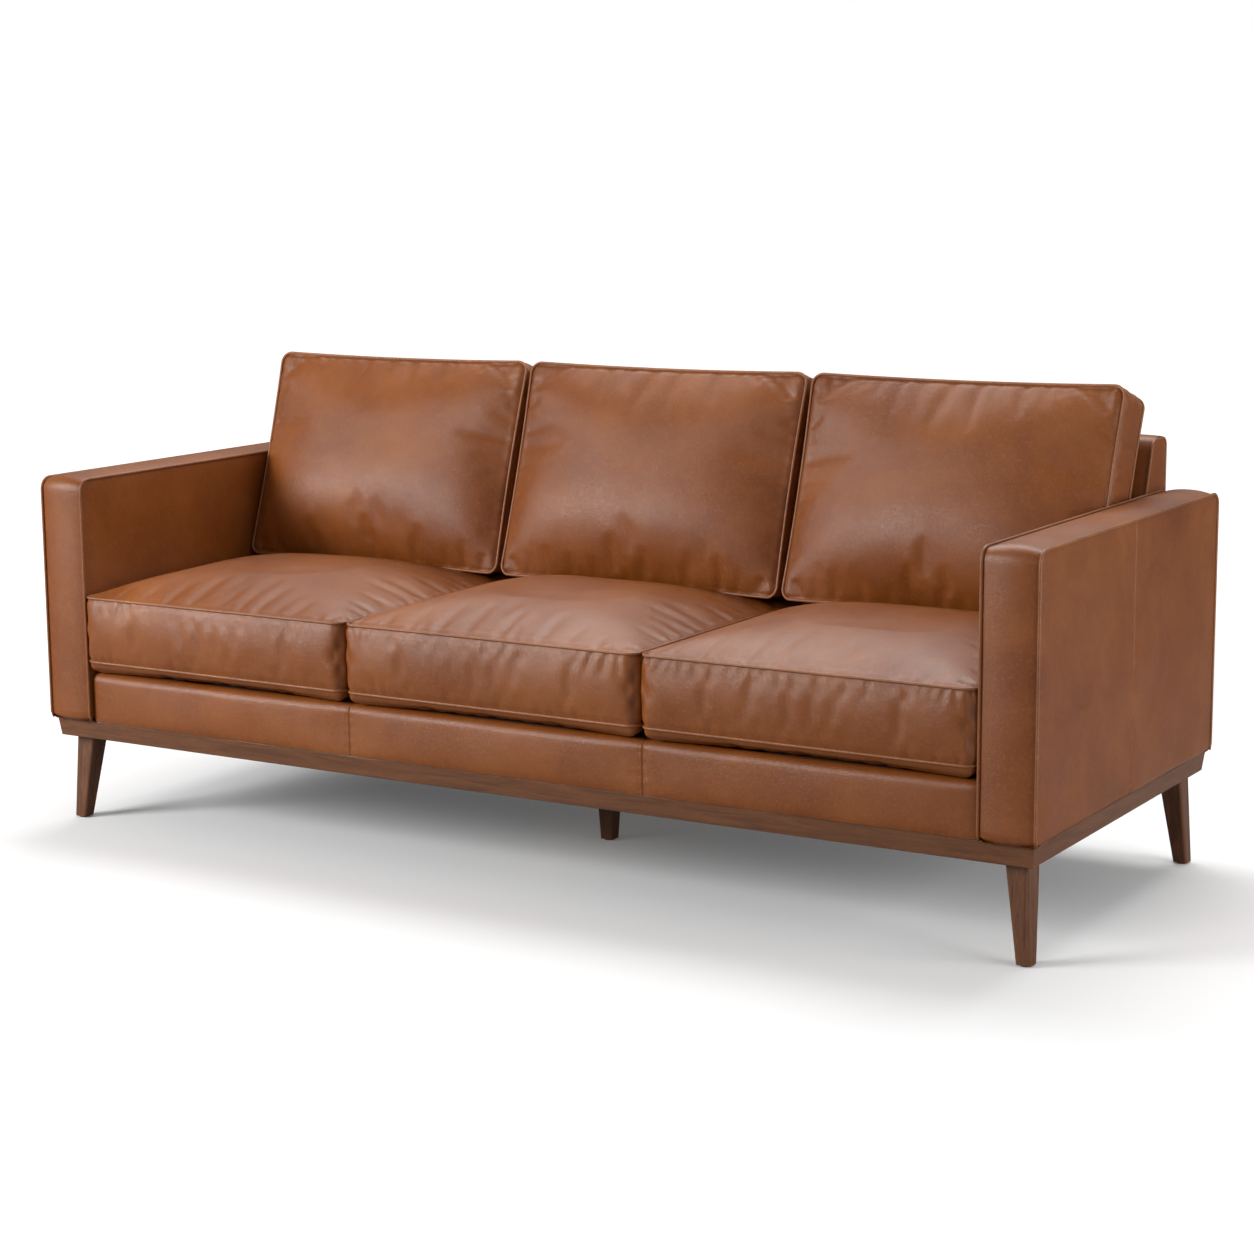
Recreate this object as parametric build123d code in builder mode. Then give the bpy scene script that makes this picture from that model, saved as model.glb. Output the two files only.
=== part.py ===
from build123d import *
import math
import os

# A three-seat sofa: leather track arms, loose box cushions, a mitred walnut plinth and splayed legs.
# Millimetres. X runs along the sofa, Y from front to back, Z up. The origin is on the floor, under the
# middle of the whole object. Left and right are as seen by someone facing the sofa, so right is +X.

# Overall sizes
sofa_width = 2030.0
arm_depth = 806.0
cushion_overhang = 12.0
arm_width = 98.0
arm_top = 666.0
back_frame_top = 761.0
seat_count = 3

# Wooden base
leg_height = 166.0
plinth_height = 36.0
plinth_thickness = 22.0
plinth_side_inset = 6.0
plinth_front_inset = 11.0
plinth_lean = 4.5
plinth_edge_radius = 2.0
corner_block_size = 100.0
center_beam_width = 90.0
dust_cover_thickness = 1.5

# Legs and their fixings
leg_top_width = 43.0
leg_foot_width = 26.5
leg_corner_radius = 5.0
leg_top_side_inset = 47.0
leg_top_front_inset = 62.0
leg_splay = 16.0
glide_height = 2.5
glide_radius = 9.5
bolt_radius = 4.0
bolt_depth_in_leg = 35.0
insert_radius = 6.0
insert_height = 26.0
screw_radius = 2.5
screw_head_radius = 5.0
screw_length = 70.0
screw_from_leg = 45.0
running_gap = 0.05

# Upholstery layers
cover = 3.0
padding = 12.0
piping_radius = 1.5
arm_corner_radius = 22.0
arm_post_depth = 50.0
arm_rail_height = 50.0
glue_gap = 0.2

# Seat platform
board = 28.0
front_rail_setback = 6.0
front_rail_top = 297.0
front_rail_radius = 15.0
rail_nose = 19.0
rail_pad_squeeze = 2.0
deck_thickness = 6.0
wire_radius = 1.9
clip_radius = 3.4
clip_width = 12.0
clip_length = 20.0
clip_gauge = 1.2
springs_per_seat = 4
spring_half_waves = 19
spring_reach = 34.0

# Backrest frame
back_lean = 17.4
back_face_setback = 314.0
back_top_front_radius = 12.0
back_top_rear_radius = 16.0
smallest_radius = 1.0
webbing_width = 60.0
webbing_thickness = 2.0
straps_per_seat = 2

# Seat cushions
seat_bottom = 298.5
seat_lower_seam = 322.0
seat_upper_seam = 444.5
seat_crown = 36.0
seat_depth = 600.0
seat_gap = 2.0
seat_corner_radius = 18.0
seat_edge_roll = 20.0
seat_shoulder = 40.0
seat_rear_shoulder = 125.0
seat_crest = 130.0
seat_rear_crest = 300.0

# Back cushions
back_cushion_bottom = 466.5
back_cushion_top = 866.0
back_cushion_setback = 93.0
back_cushion_boxing = 95.0
back_front_crown = 30.0
back_rear_crown = 48.0
back_cushion_corner_radius = 22.0
back_cushion_length = 440.0
back_shoulder = 50.0
back_shoulder_rise = 0.6
back_crest = 140.0

# Places worked out from the sizes above
half_width = sofa_width / 2
inner_face = half_width - arm_width
rear_y = (arm_depth + cushion_overhang) / 2
front_y = rear_y - arm_depth
base_top = leg_height + plinth_height
seat_pitch = 2 * inner_face / seat_count
seat_centers = [(i - (seat_count - 1) / 2) * seat_pitch for i in range(seat_count)]
seat_names = ["left", "middle", "right"]
lean = math.tan(math.radians(back_lean))
block_top = base_top - dust_cover_thickness
plinth_half_width = half_width - plinth_side_inset
plinth_front_y = front_y + plinth_front_inset
plinth_rear_y = rear_y - plinth_front_inset
rail_front_y = front_y + front_rail_setback
rail_board_y = rail_front_y + cover + padding
rail_board_top = front_rail_top - cover - padding + rail_pad_squeeze
deck_front_y = rail_front_y + rail_nose
deck_bottom = front_rail_top - deck_thickness


def finish(part, label):
    part.label = label
    export_step(part, f"parts/{label}.step")


def backrest_front(height):
    """Y of the leaning front face of the backrest frame at a height."""
    return back_face_setback + (height - arm_top) * lean


os.makedirs("parts", exist_ok=True)


# ---- Plinth: four mitred rails whose outer faces lean inward towards the floor ----

def plinth_rail(label, along_x, side):
    center_y = (plinth_front_y + plinth_rear_y) / 2
    half_depth = (plinth_rear_y - plinth_front_y) / 2
    with BuildPart() as rail:
        for height, inset in ((leg_height, plinth_lean), (base_top, 0.0)):
            outer = (plinth_half_width - inset, half_depth - inset)
            inner = (plinth_half_width - plinth_thickness, half_depth - plinth_thickness)
            if along_x:
                signs = ((-1, side), (1, side))
            else:
                signs = ((side, -1), (side, 1))
            corners = [(sx * outer[0], sy * outer[1]) for sx, sy in signs]
            corners += [(sx * inner[0], sy * inner[1]) for sx, sy in reversed(signs)]
            with BuildSketch(Plane.XY.offset(height)):
                with Locations((0, center_y)):
                    Polygon(*corners, align=None)
        loft()
        if along_x:
            edges = rail.edges().filter_by(Axis.X).sort_by(Axis.Y, reverse=side > 0)[:2]
        else:
            edges = rail.edges().filter_by(Axis.Y).sort_by(Axis.X, reverse=side > 0)[:2]
        fillet(edges, plinth_edge_radius)
    finish(rail.part, label)


plinth_rail("plinth_front", True, -1)
plinth_rail("plinth_rear", True, 1)
plinth_rail("plinth_left", False, -1)
plinth_rail("plinth_right", False, 1)


# ---- Legs, their bolts, threaded inserts, glides and the blocks that hold them ----

leg_top_x = half_width - leg_top_side_inset
leg_front_y = front_y + leg_top_front_inset
leg_rear_y = rear_y - leg_top_front_inset
leg_places = {
    "leg_front_left": (-leg_top_x, leg_front_y, -1, -1),
    "leg_front_right": (leg_top_x, leg_front_y, 1, -1),
    "leg_rear_left": (-leg_top_x, leg_rear_y, -1, 1),
    "leg_rear_right": (leg_top_x, leg_rear_y, 1, 1),
    "leg_center": (0.0, 0.0, 0, 0),
}
bolt_spots = [(x, y) for x, y, _, _ in leg_places.values()]
foot_spots = [(x + sx * leg_splay, y + sy * leg_splay) for x, y, sx, sy in leg_places.values()]

for label, (x, y, splay_x, splay_y) in leg_places.items():
    with BuildPart() as leg:
        with BuildSketch(Plane.XY.offset(glide_height)):
            with Locations((x + splay_x * leg_splay, y + splay_y * leg_splay)):
                RectangleRounded(leg_foot_width, leg_foot_width, leg_corner_radius)
        with BuildSketch(Plane.XY.offset(leg_height)):
            with Locations((x, y)):
                RectangleRounded(leg_top_width, leg_top_width, leg_corner_radius)
        loft()
        with BuildSketch(Plane.XY.offset(leg_height)):
            with Locations((x, y)):
                Circle(bolt_radius + running_gap)
        extrude(amount=-bolt_depth_in_leg - running_gap, mode=Mode.SUBTRACT)
    finish(leg.part, label)

with BuildPart() as glides:
    with BuildSketch(Plane.XY):
        with Locations(*foot_spots):
            Circle(glide_radius)
    extrude(amount=glide_height)
finish(glides.part, "foot_glides")

with BuildPart() as bolts:
    with BuildSketch(Plane.XY.offset(leg_height - bolt_depth_in_leg)):
        with Locations(*bolt_spots):
            Circle(bolt_radius)
    extrude(amount=bolt_depth_in_leg + insert_height - running_gap)
finish(bolts.part, "leg_hanger_bolts")

with BuildPart() as inserts:
    with BuildSketch(Plane.XY.offset(leg_height)):
        with Locations(*bolt_spots):
            Circle(insert_radius)
            Circle(bolt_radius + running_gap, mode=Mode.SUBTRACT)
    extrude(amount=insert_height)
finish(inserts.part, "leg_threaded_inserts")

screw_spots = [
    (sx * (leg_top_x - screw_from_leg / 2), leg_y - sy * screw_from_leg)
    for sx in (-1, 1)
    for sy, leg_y in ((-1, leg_front_y), (1, leg_rear_y))
]
block_center_x = plinth_half_width - plinth_thickness - corner_block_size / 2
block_center_ys = (
    plinth_front_y + plinth_thickness + corner_block_size / 2,
    plinth_rear_y - plinth_thickness - corner_block_size / 2,
)
with BuildPart() as corner_blocks:
    with BuildSketch(Plane.XY.offset(leg_height)):
        with Locations(*[(sx * block_center_x, y) for sx in (-1, 1) for y in block_center_ys]):
            Rectangle(corner_block_size, corner_block_size)
        with Locations(*screw_spots):
            Circle(screw_radius + running_gap, mode=Mode.SUBTRACT)
    extrude(amount=block_top - leg_height)
    with BuildSketch(Plane.XY.offset(leg_height)):
        with Locations(*bolt_spots[:4]):
            Circle(insert_radius + running_gap)
    extrude(amount=insert_height + running_gap, mode=Mode.SUBTRACT)
finish(corner_blocks.part, "corner_blocks")

with BuildPart() as center_beam:
    with BuildSketch(Plane.XY.offset(leg_height)):
        with Locations((0, (plinth_front_y + plinth_rear_y) / 2)):
            Rectangle(center_beam_width, plinth_rear_y - plinth_front_y - 2 * plinth_thickness)
    extrude(amount=block_top - leg_height)
    with BuildSketch(Plane.XY.offset(leg_height)):
        with Locations(bolt_spots[4]):
            Circle(insert_radius + running_gap)
    extrude(amount=insert_height + running_gap, mode=Mode.SUBTRACT)
finish(center_beam.part, "center_beam")

with BuildPart() as dust_cover:
    with BuildSketch(Plane.XY.offset(block_top)):
        with Locations((0, (plinth_front_y + plinth_rear_y) / 2)):
            Rectangle(
                2 * (plinth_half_width - plinth_thickness),
                plinth_rear_y - plinth_front_y - 2 * plinth_thickness,
            )
        with Locations(*screw_spots):
            Circle(screw_radius + running_gap, mode=Mode.SUBTRACT)
    extrude(amount=dust_cover_thickness)
finish(dust_cover.part, "dust_cover")

with BuildPart() as screws:
    with BuildSketch(Plane.XY.offset(leg_height)):
        with Locations(*screw_spots):
            Circle(screw_radius)
    extrude(amount=screw_length)
    with BuildSketch(Plane.XY.offset(leg_height)):
        with Locations(*screw_spots):
            Circle(screw_head_radius)
    extrude(amount=-screw_radius)
finish(screws.part, "plinth_screws")


# ---- Seat platform: rails, cross rails, springs, clips and deck ----

spring_rail_front_y = backrest_front(front_rail_top) + cover
rear_rail_rear_y = rear_y - cover


def beam(label, y_front, y_rear, top):
    with BuildPart() as rail:
        with BuildSketch(Plane.XY.offset(base_top)):
            with Locations((0, (y_front + y_rear) / 2)):
                Rectangle(2 * inner_face, y_rear - y_front)
        extrude(amount=top - base_top)
    finish(rail.part, label)


beam("frame_front_rail", rail_board_y, rail_board_y + board, rail_board_top)
beam("frame_spring_rail", spring_rail_front_y, spring_rail_front_y + board, rail_board_top)
beam("frame_rear_rail", rear_rail_rear_y - board, rear_rail_rear_y, rail_board_top)

with BuildPart() as cross_rails:
    with BuildSketch(Plane.XY.offset(base_top)):
        y_start = rail_board_y + board
        y_middle = (y_start + spring_rail_front_y) / 2
        with Locations((-seat_pitch / 2, y_middle), (seat_pitch / 2, y_middle)):
            Rectangle(board, spring_rail_front_y - y_start)
    extrude(amount=(rail_board_top - base_top) / 2)
finish(cross_rails.part, "frame_cross_rails")

# Each spring is a flat wire wave between the front rail and the spring rail, with a clip at each end.
spring_front_y = rail_board_y + board / 2
spring_rear_y = spring_rail_front_y + board / 2
spring_turn = (spring_rear_y - spring_front_y) / spring_half_waves / 2
wire_height = rail_board_top + clip_radius
spring_xs = [
    center + (k - (springs_per_seat - 1) / 2) * seat_pitch / springs_per_seat
    for center in seat_centers
    for k in range(springs_per_seat)
]


def spring_solid(x):
    half_reach = spring_reach / 2
    with BuildPart() as spring:
        with BuildLine(Plane.XY.offset(wire_height)) as wave:
            side = -1
            Line((x + half_reach, spring_front_y), (x - half_reach, spring_front_y))
            for k in range(spring_half_waves):
                y = spring_front_y + 2 * spring_turn * k
                start = (x + side * half_reach, y)
                middle = (x + side * (half_reach + spring_turn), y + spring_turn)
                end = (x + side * half_reach, y + 2 * spring_turn)
                ThreePointArc(start, middle, end)
                Line(end, (x - side * half_reach, y + 2 * spring_turn))
                side = -side
        with BuildSketch(Plane(origin=wave.line @ 0, z_dir=wave.line % 0)):
            Circle(wire_radius)
        sweep(path=wave.line)
    return spring.part


with BuildPart() as springs:
    for x in spring_xs:
        add(spring_solid(x))
finish(springs.part, "seat_springs")


def clip_solid(x, y):
    with BuildPart() as clip:
        with BuildSketch(Plane.YZ.offset(x - clip_width / 2)):
            with Locations((y, rail_board_top + clip_gauge / 2)):
                Rectangle(clip_length, clip_gauge)
            with Locations((y, wire_height)):
                Circle(clip_radius)
                Circle(wire_radius + running_gap, mode=Mode.SUBTRACT)
        extrude(amount=clip_width)
    return clip.part


with BuildPart() as clips:
    for x in spring_xs:
        add(clip_solid(x, spring_front_y))
        add(clip_solid(x, spring_rear_y))
finish(clips.part, "spring_clips")

with BuildPart() as deck:
    with BuildSketch(Plane.YZ.offset(-inner_face)):
        Polygon(
            (deck_front_y, deck_bottom),
            (backrest_front(deck_bottom), deck_bottom),
            (backrest_front(front_rail_top), front_rail_top),
            (deck_front_y, front_rail_top),
            align=None,
        )
    extrude(amount=2 * inner_face)
finish(deck.part, "seat_deck")


# ---- Front rail upholstery: padding over the nose of the board and three sewn leather panels ----

def front_rail_section(x, inset):
    with BuildSketch(Plane.YZ.offset(x)) as section:
        Polygon(
            (rail_front_y + inset, base_top),
            (deck_front_y, base_top),
            (deck_front_y, front_rail_top - inset),
            (rail_front_y + inset, front_rail_top - inset),
            align=None,
        )
        nose = section.vertices().group_by(Axis.Y)[-1].sort_by(Axis.X)[0]
        fillet(nose, front_rail_radius - inset)
    return section.sketch


rail_padding_section = front_rail_section(-inner_face, cover)
with BuildPart() as rail_padding:
    extrude(rail_padding_section, amount=2 * inner_face)
    with BuildSketch(Plane.YZ.offset(-inner_face)):
        Polygon(
            (rail_board_y, base_top),
            (deck_front_y, base_top),
            (deck_front_y, rail_board_top),
            (rail_board_y, rail_board_top),
            align=None,
        )
    extrude(amount=2 * inner_face, mode=Mode.SUBTRACT)
finish(rail_padding.part, "front_rail_padding")

for name, center in zip(seat_names, seat_centers):
    panel_start = center - seat_pitch / 2
    outer_section = front_rail_section(panel_start, 0.0)
    inner_section = front_rail_section(panel_start, cover)
    with BuildPart() as panel:
        extrude(outer_section, amount=seat_pitch)
        extrude(inner_section, amount=seat_pitch, mode=Mode.SUBTRACT)
    finish(panel.part, f"front_rail_cover_{name}")


# ---- Arms: a wood frame inside foam, wrapped by a front-and-top band and flat side panels ----

def arm_section(x, inset):
    with BuildSketch(Plane.YZ.offset(x)) as section:
        Polygon(
            (front_y + inset, base_top),
            (rear_y - inset, base_top),
            (rear_y - inset, arm_top - inset),
            (front_y + inset, arm_top - inset),
            align=None,
        )
        fillet(section.vertices().group_by(Axis.Y)[-1], arm_corner_radius - inset)
    return section.sketch


def arm_piping_path(x, inset):
    bend = arm_corner_radius - inset
    front = front_y + inset
    rear = rear_y - inset
    top = arm_top - inset
    with BuildLine(Plane.YZ.offset(x)) as path:
        Line((front, base_top), (front, top - bend))
        RadiusArc((front, top - bend), (front + bend, top), bend)
        Line((front + bend, top), (rear - bend, top))
        RadiusArc((rear - bend, top), (rear, top - bend), bend)
        Line((rear, top - bend), (rear, base_top))
    return path.line


def make_arm(name, side):
    core_inset = cover + padding
    low_x, high_x = sorted((side * inner_face, side * half_width))
    middle_x = (low_x + high_x) / 2
    core_width = arm_width - 2 * core_inset
    post_top = arm_top - core_inset
    post_ys = (
        front_y + core_inset + arm_post_depth / 2,
        (front_y + rear_y) / 2,
        rear_y - core_inset - arm_post_depth / 2,
    )
    half_post = arm_post_depth / 2 + glue_gap
    rail_spans = [
        (post_ys[0] + half_post, post_ys[1] - half_post),
        (post_ys[1] + half_post, post_ys[2] - half_post),
    ]

    with BuildPart() as arm_frame:
        with BuildSketch(Plane.XY.offset(base_top)):
            with Locations(*[(middle_x, y) for y in post_ys]):
                Rectangle(core_width, arm_post_depth)
        extrude(amount=post_top - base_top)
        for rail_bottom in (base_top, post_top - arm_rail_height):
            with BuildSketch(Plane.XY.offset(rail_bottom)):
                for start, end in rail_spans:
                    with Locations((middle_x, (start + end) / 2)):
                        Rectangle(core_width, end - start)
            extrude(amount=arm_rail_height)
        with BuildSketch(Plane.XY.offset(base_top)):
            with Locations(*screw_spots):
                Circle(screw_radius + running_gap)
        extrude(amount=screw_length - base_top + leg_height + running_gap, mode=Mode.SUBTRACT)
    finish(arm_frame.part, f"{name}_arm_frame")

    padding_section = arm_section(low_x + cover, cover)
    with BuildPart() as arm_padding:
        extrude(padding_section, amount=arm_width - 2 * cover)
        with BuildSketch(Plane.XY.offset(base_top)):
            with Locations((middle_x, (front_y + rear_y) / 2)):
                Rectangle(core_width, arm_depth - 2 * core_inset)
        extrude(amount=post_top - base_top, mode=Mode.SUBTRACT)
    finish(arm_padding.part, f"{name}_arm_padding")

    band_outer = arm_section(low_x + cover, 0.0)
    band_inner = arm_section(low_x + cover, cover)
    with BuildPart() as band:
        extrude(band_outer, amount=arm_width - 2 * cover)
        extrude(band_inner, amount=arm_width - 2 * cover, mode=Mode.SUBTRACT)
    finish(band.part, f"{name}_arm_band_cover")

    inner_low = low_x if side > 0 else high_x - cover
    outer_low = high_x - cover if side > 0 else low_x
    inner_panel_section = arm_section(inner_low, cover)
    with BuildPart() as inner_panel:
        extrude(inner_panel_section, amount=cover)
    finish(inner_panel.part, f"{name}_arm_inner_cover")

    outer_panel_section = arm_section(outer_low, cover)
    with BuildPart() as outer_panels:
        extrude(outer_panel_section, amount=cover)
        seam_plane = Plane.XZ.offset(-(front_y + rear_y) / 2)
        split(bisect_by=seam_plane, keep=Keep.BOTH)
    finish(outer_panels.part, f"{name}_arm_outer_covers")

    piping_paths = [
        arm_piping_path(low_x + piping_radius, piping_radius),
        arm_piping_path(high_x - piping_radius, piping_radius),
    ]
    with BuildPart() as piping:
        for path in piping_paths:
            with BuildSketch(Plane(origin=path @ 0, z_dir=path % 0)):
                Circle(piping_radius)
            sweep(path=path)
    finish(piping.part, f"{name}_arm_piping")


make_arm("left", -1)
make_arm("right", 1)


# ---- Backrest: leaning posts and a top rail, webbing, padding and leather ----

def backrest_section(x, inset, bottom):
    """Side outline of the backrest frame, stepped in from its front, top and rear by an inset."""
    step = inset / math.cos(math.radians(back_lean))
    top = back_frame_top - inset
    with BuildSketch(Plane.YZ.offset(x)) as section:
        Polygon(
            (backrest_front(bottom) + step, bottom),
            (rear_y - inset, bottom),
            (rear_y - inset, top),
            (backrest_front(top) + step, top),
            align=None,
        )
        front_corner = section.vertices().group_by(Axis.Y)[-1].sort_by(Axis.X)[0]
        fillet(front_corner, max(back_top_front_radius - inset, smallest_radius))
        rear_corner = section.vertices().group_by(Axis.Y)[-1].sort_by(Axis.X)[-1]
        fillet(rear_corner, max(back_top_rear_radius - inset, smallest_radius))
    return section.sketch


back_core_inset = cover + padding + webbing_thickness
end_face = inner_face - cover
post_xs = [-end_face + board / 2, -seat_pitch / 2, seat_pitch / 2, end_face - board / 2]
post_sections = [backrest_section(x - board / 2, back_core_inset, front_rail_top) for x in post_xs]
with BuildPart() as backrest_frame:
    for section in post_sections:
        extrude(section, amount=board)
    top_rail_bottom = back_frame_top - back_core_inset - 2 * board
    for start, end in zip(post_xs, post_xs[1:]):
        with BuildSketch(Plane.YZ.offset(start + board / 2 + glue_gap)):
            front_step = back_core_inset / math.cos(math.radians(back_lean))
            rail_front = backrest_front(top_rail_bottom) + front_step
            Polygon(
                (rail_front + lean * board * 2, top_rail_bottom),
                (rear_y - back_core_inset, top_rail_bottom),
                (rear_y - back_core_inset, back_frame_top - back_core_inset),
                (rail_front + lean * board * 2, back_frame_top - back_core_inset),
                align=None,
            )
        extrude(amount=end - start - board - 2 * glue_gap)
finish(backrest_frame.part, "backrest_frame")


def backrest_slab(x, near, far, bottom, top):
    """Strip that lies along the leaning front face, between two depths behind it."""
    with BuildSketch(Plane.YZ.offset(x)) as strip:
        near_step = near / math.cos(math.radians(back_lean))
        far_step = far / math.cos(math.radians(back_lean))
        Polygon(
            (backrest_front(bottom) + near_step, bottom),
            (backrest_front(bottom) + far_step, bottom),
            (backrest_front(top) + far_step, top),
            (backrest_front(top) + near_step, top),
            align=None,
        )
    return strip.sketch


strap_top = back_frame_top - back_core_inset
strap_xs = [
    center + (k - (straps_per_seat - 1) / 2) * seat_pitch / straps_per_seat
    for center in seat_centers
    for k in range(straps_per_seat)
]
strap_sections = [
    backrest_slab(x - webbing_width / 2, cover + padding, back_core_inset, front_rail_top, strap_top)
    for x in strap_xs
]
with BuildPart() as webbing:
    for section in strap_sections:
        extrude(section, amount=webbing_width)
finish(webbing.part, "backrest_webbing")

pad_outer = backrest_section(-end_face, cover, front_rail_top)
pad_inner = backrest_section(-end_face, cover + padding, front_rail_top)
with BuildPart() as backrest_padding:
    extrude(pad_outer, amount=2 * end_face)
    extrude(pad_inner, amount=2 * end_face, mode=Mode.SUBTRACT)
finish(backrest_padding.part, "backrest_padding")

skin_outer = backrest_section(-end_face, 0.0, front_rail_top)
skin_inner = backrest_section(-end_face, cover, front_rail_top)
with BuildPart() as backrest_front_cover:
    extrude(skin_outer, amount=2 * end_face)
    extrude(skin_inner, amount=2 * end_face, mode=Mode.SUBTRACT)
    with BuildSketch(Plane.YZ.offset(-end_face)):
        Polygon(
            (rear_y - cover, front_rail_top),
            (rear_y, front_rail_top),
            (rear_y, back_frame_top - back_top_rear_radius),
            (rear_y - cover, back_frame_top - back_top_rear_radius),
            align=None,
        )
    extrude(amount=2 * end_face, mode=Mode.SUBTRACT)
finish(backrest_front_cover.part, "backrest_front_cover")

with BuildPart() as backrest_rear_cover:
    with BuildSketch(Plane.XY.offset(base_top)):
        with Locations((0, rear_y - cover / 2)):
            Rectangle(2 * end_face, cover)
    extrude(amount=back_frame_top - back_top_rear_radius - base_top)
finish(backrest_rear_cover.part, "backrest_rear_cover")

end_sections = [
    backrest_section(-inner_face, cover, arm_top),
    backrest_section(end_face, cover, arm_top),
]
with BuildPart() as end_covers:
    for section in end_sections:
        extrude(section, amount=cover)
finish(end_covers.part, "backrest_end_covers")


def backrest_piping_path(x):
    inset = piping_radius
    step = inset / math.cos(math.radians(back_lean))
    top = back_frame_top - inset
    low_point = (backrest_front(arm_top) + step, arm_top)
    corner = (backrest_front(top) + step, top)
    rear_point = (rear_y - back_top_rear_radius, top)
    with BuildLine(Plane.YZ.offset(x)) as path:
        FilletPolyline(low_point, corner, rear_point, radius=back_top_front_radius - inset)
    return path.line


back_piping_paths = [backrest_piping_path(side * (inner_face - piping_radius)) for side in (-1, 1)]
with BuildPart() as backrest_piping:
    for path in back_piping_paths:
        with BuildSketch(Plane(origin=path @ 0, z_dir=path % 0)):
            Circle(piping_radius)
        sweep(path=path)
finish(backrest_piping.part, "backrest_piping")


# ---- Seat cushions: crowned box cushions, a foam core inside a sewn leather cover ----

def seat_cushion(center, inset):
    """Crowned block, stepped in all round by an inset; its crown is low under the back cushion."""
    front = front_y - cushion_overhang
    rear = front + seat_depth
    width = seat_pitch - seat_gap
    tiers = (
        (seat_bottom + inset, seat_edge_roll, seat_edge_roll, seat_edge_roll),
        (seat_lower_seam, 0.0, 0.0, 0.0),
        (seat_upper_seam - inset, 0.0, 0.0, 0.0),
        (seat_upper_seam + seat_crown / 2 - inset, seat_shoulder, seat_shoulder, seat_rear_shoulder),
        (seat_upper_seam + seat_crown - inset, seat_crest, seat_crest, seat_rear_crest),
    )
    with BuildPart() as block:
        for height, side_step, front_step, rear_step in tiers:
            tier_width = width - 2 * (side_step + inset)
            low_y = front + front_step + inset
            high_y = rear - rear_step - inset
            with BuildSketch(Plane.XY.offset(height)):
                with Locations((center, (low_y + high_y) / 2)):
                    RectangleRounded(tier_width, high_y - low_y, seat_corner_radius - inset)
        loft(ruled=True)
    return block.part


# ---- Back cushions: leaning box cushions, crowned at the front and the rear ----

def back_cushion(center, inset):
    """Leaning pillow: boxing all round, a crown on each face and a flat foot on the seat cushion."""
    lean_sin = math.sin(math.radians(back_lean))
    lean_cos = math.cos(math.radians(back_lean))
    up_dir = Vector(0, lean_sin, lean_cos)
    back_dir = Vector(0, lean_cos, -lean_sin)
    width = seat_pitch - seat_gap
    top = Vector(center, back_cushion_setback, back_cushion_bottom)
    top += up_dir * ((back_cushion_top - back_cushion_bottom) / lean_cos)
    length = back_cushion_length
    tiers = (
        (inset - back_front_crown, back_crest),
        (inset - back_front_crown * back_shoulder_rise, back_shoulder),
        (inset, 0.0),
        (back_cushion_boxing - inset, 0.0),
        (back_cushion_boxing + back_rear_crown * back_shoulder_rise - inset, back_shoulder),
        (back_cushion_boxing + back_rear_crown - inset, back_crest),
    )
    with BuildPart() as pillow:
        for depth, step in tiers:
            origin = top - up_dir * (length / 2) + back_dir * depth
            with BuildSketch(Plane(origin=origin, x_dir=(1, 0, 0), z_dir=back_dir)):
                RectangleRounded(
                    width - 2 * (step + inset),
                    length - 2 * (step + inset),
                    back_cushion_corner_radius - inset,
                )
        loft(ruled=True)
        split(bisect_by=Plane.XY.offset(back_cushion_bottom + inset), keep=Keep.TOP)
    return pillow.part


for name, center in zip(seat_names, seat_centers):
    for kind, shape in (("seat", seat_cushion), ("back", back_cushion)):
        outer_shape = shape(center, 0.0)
        core_shape = shape(center, cover)
        with BuildPart() as core:
            add(core_shape)
        finish(core.part, f"{kind}_cushion_{name}_core")
        with BuildPart() as leather:
            add(outer_shape)
            add(core_shape, mode=Mode.SUBTRACT)
        finish(leather.part, f"{kind}_cushion_{name}_cover")
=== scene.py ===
import math
from types import SimpleNamespace

import bmesh
import bpy
import numpy as np
from mathutils import Matrix, Vector


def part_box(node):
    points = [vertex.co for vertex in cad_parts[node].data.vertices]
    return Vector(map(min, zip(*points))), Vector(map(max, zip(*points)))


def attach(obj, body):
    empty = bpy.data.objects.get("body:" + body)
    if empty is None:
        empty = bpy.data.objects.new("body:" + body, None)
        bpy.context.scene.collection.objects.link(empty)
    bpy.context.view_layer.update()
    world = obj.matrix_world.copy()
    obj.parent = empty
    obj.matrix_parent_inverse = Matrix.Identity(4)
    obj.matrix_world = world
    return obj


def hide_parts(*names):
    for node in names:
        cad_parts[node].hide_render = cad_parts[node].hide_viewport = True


# Looks of a three-seat leather sofa with a walnut base. Metres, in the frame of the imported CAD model.
# Left and right are as seen by someone facing the sofa.

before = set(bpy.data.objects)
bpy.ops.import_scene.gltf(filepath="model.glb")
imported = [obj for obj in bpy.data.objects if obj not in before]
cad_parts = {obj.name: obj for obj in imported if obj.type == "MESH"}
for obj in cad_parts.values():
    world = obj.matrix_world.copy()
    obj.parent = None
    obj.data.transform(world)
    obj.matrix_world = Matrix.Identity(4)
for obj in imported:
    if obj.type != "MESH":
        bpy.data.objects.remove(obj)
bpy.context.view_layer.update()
BODY = "sofa_frame"
SEAT_NAMES = ("left", "middle", "right")


# -------- mesh helpers

WELD = 0.00005


def smooth(edge0, edge1, value):
    """0 before edge0, 1 after edge1, and an even S between them."""
    t = np.clip((value - edge0) / (edge1 - edge0), 0.0, 1.0)
    return t * t * (3.0 - 2.0 * t)


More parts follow.
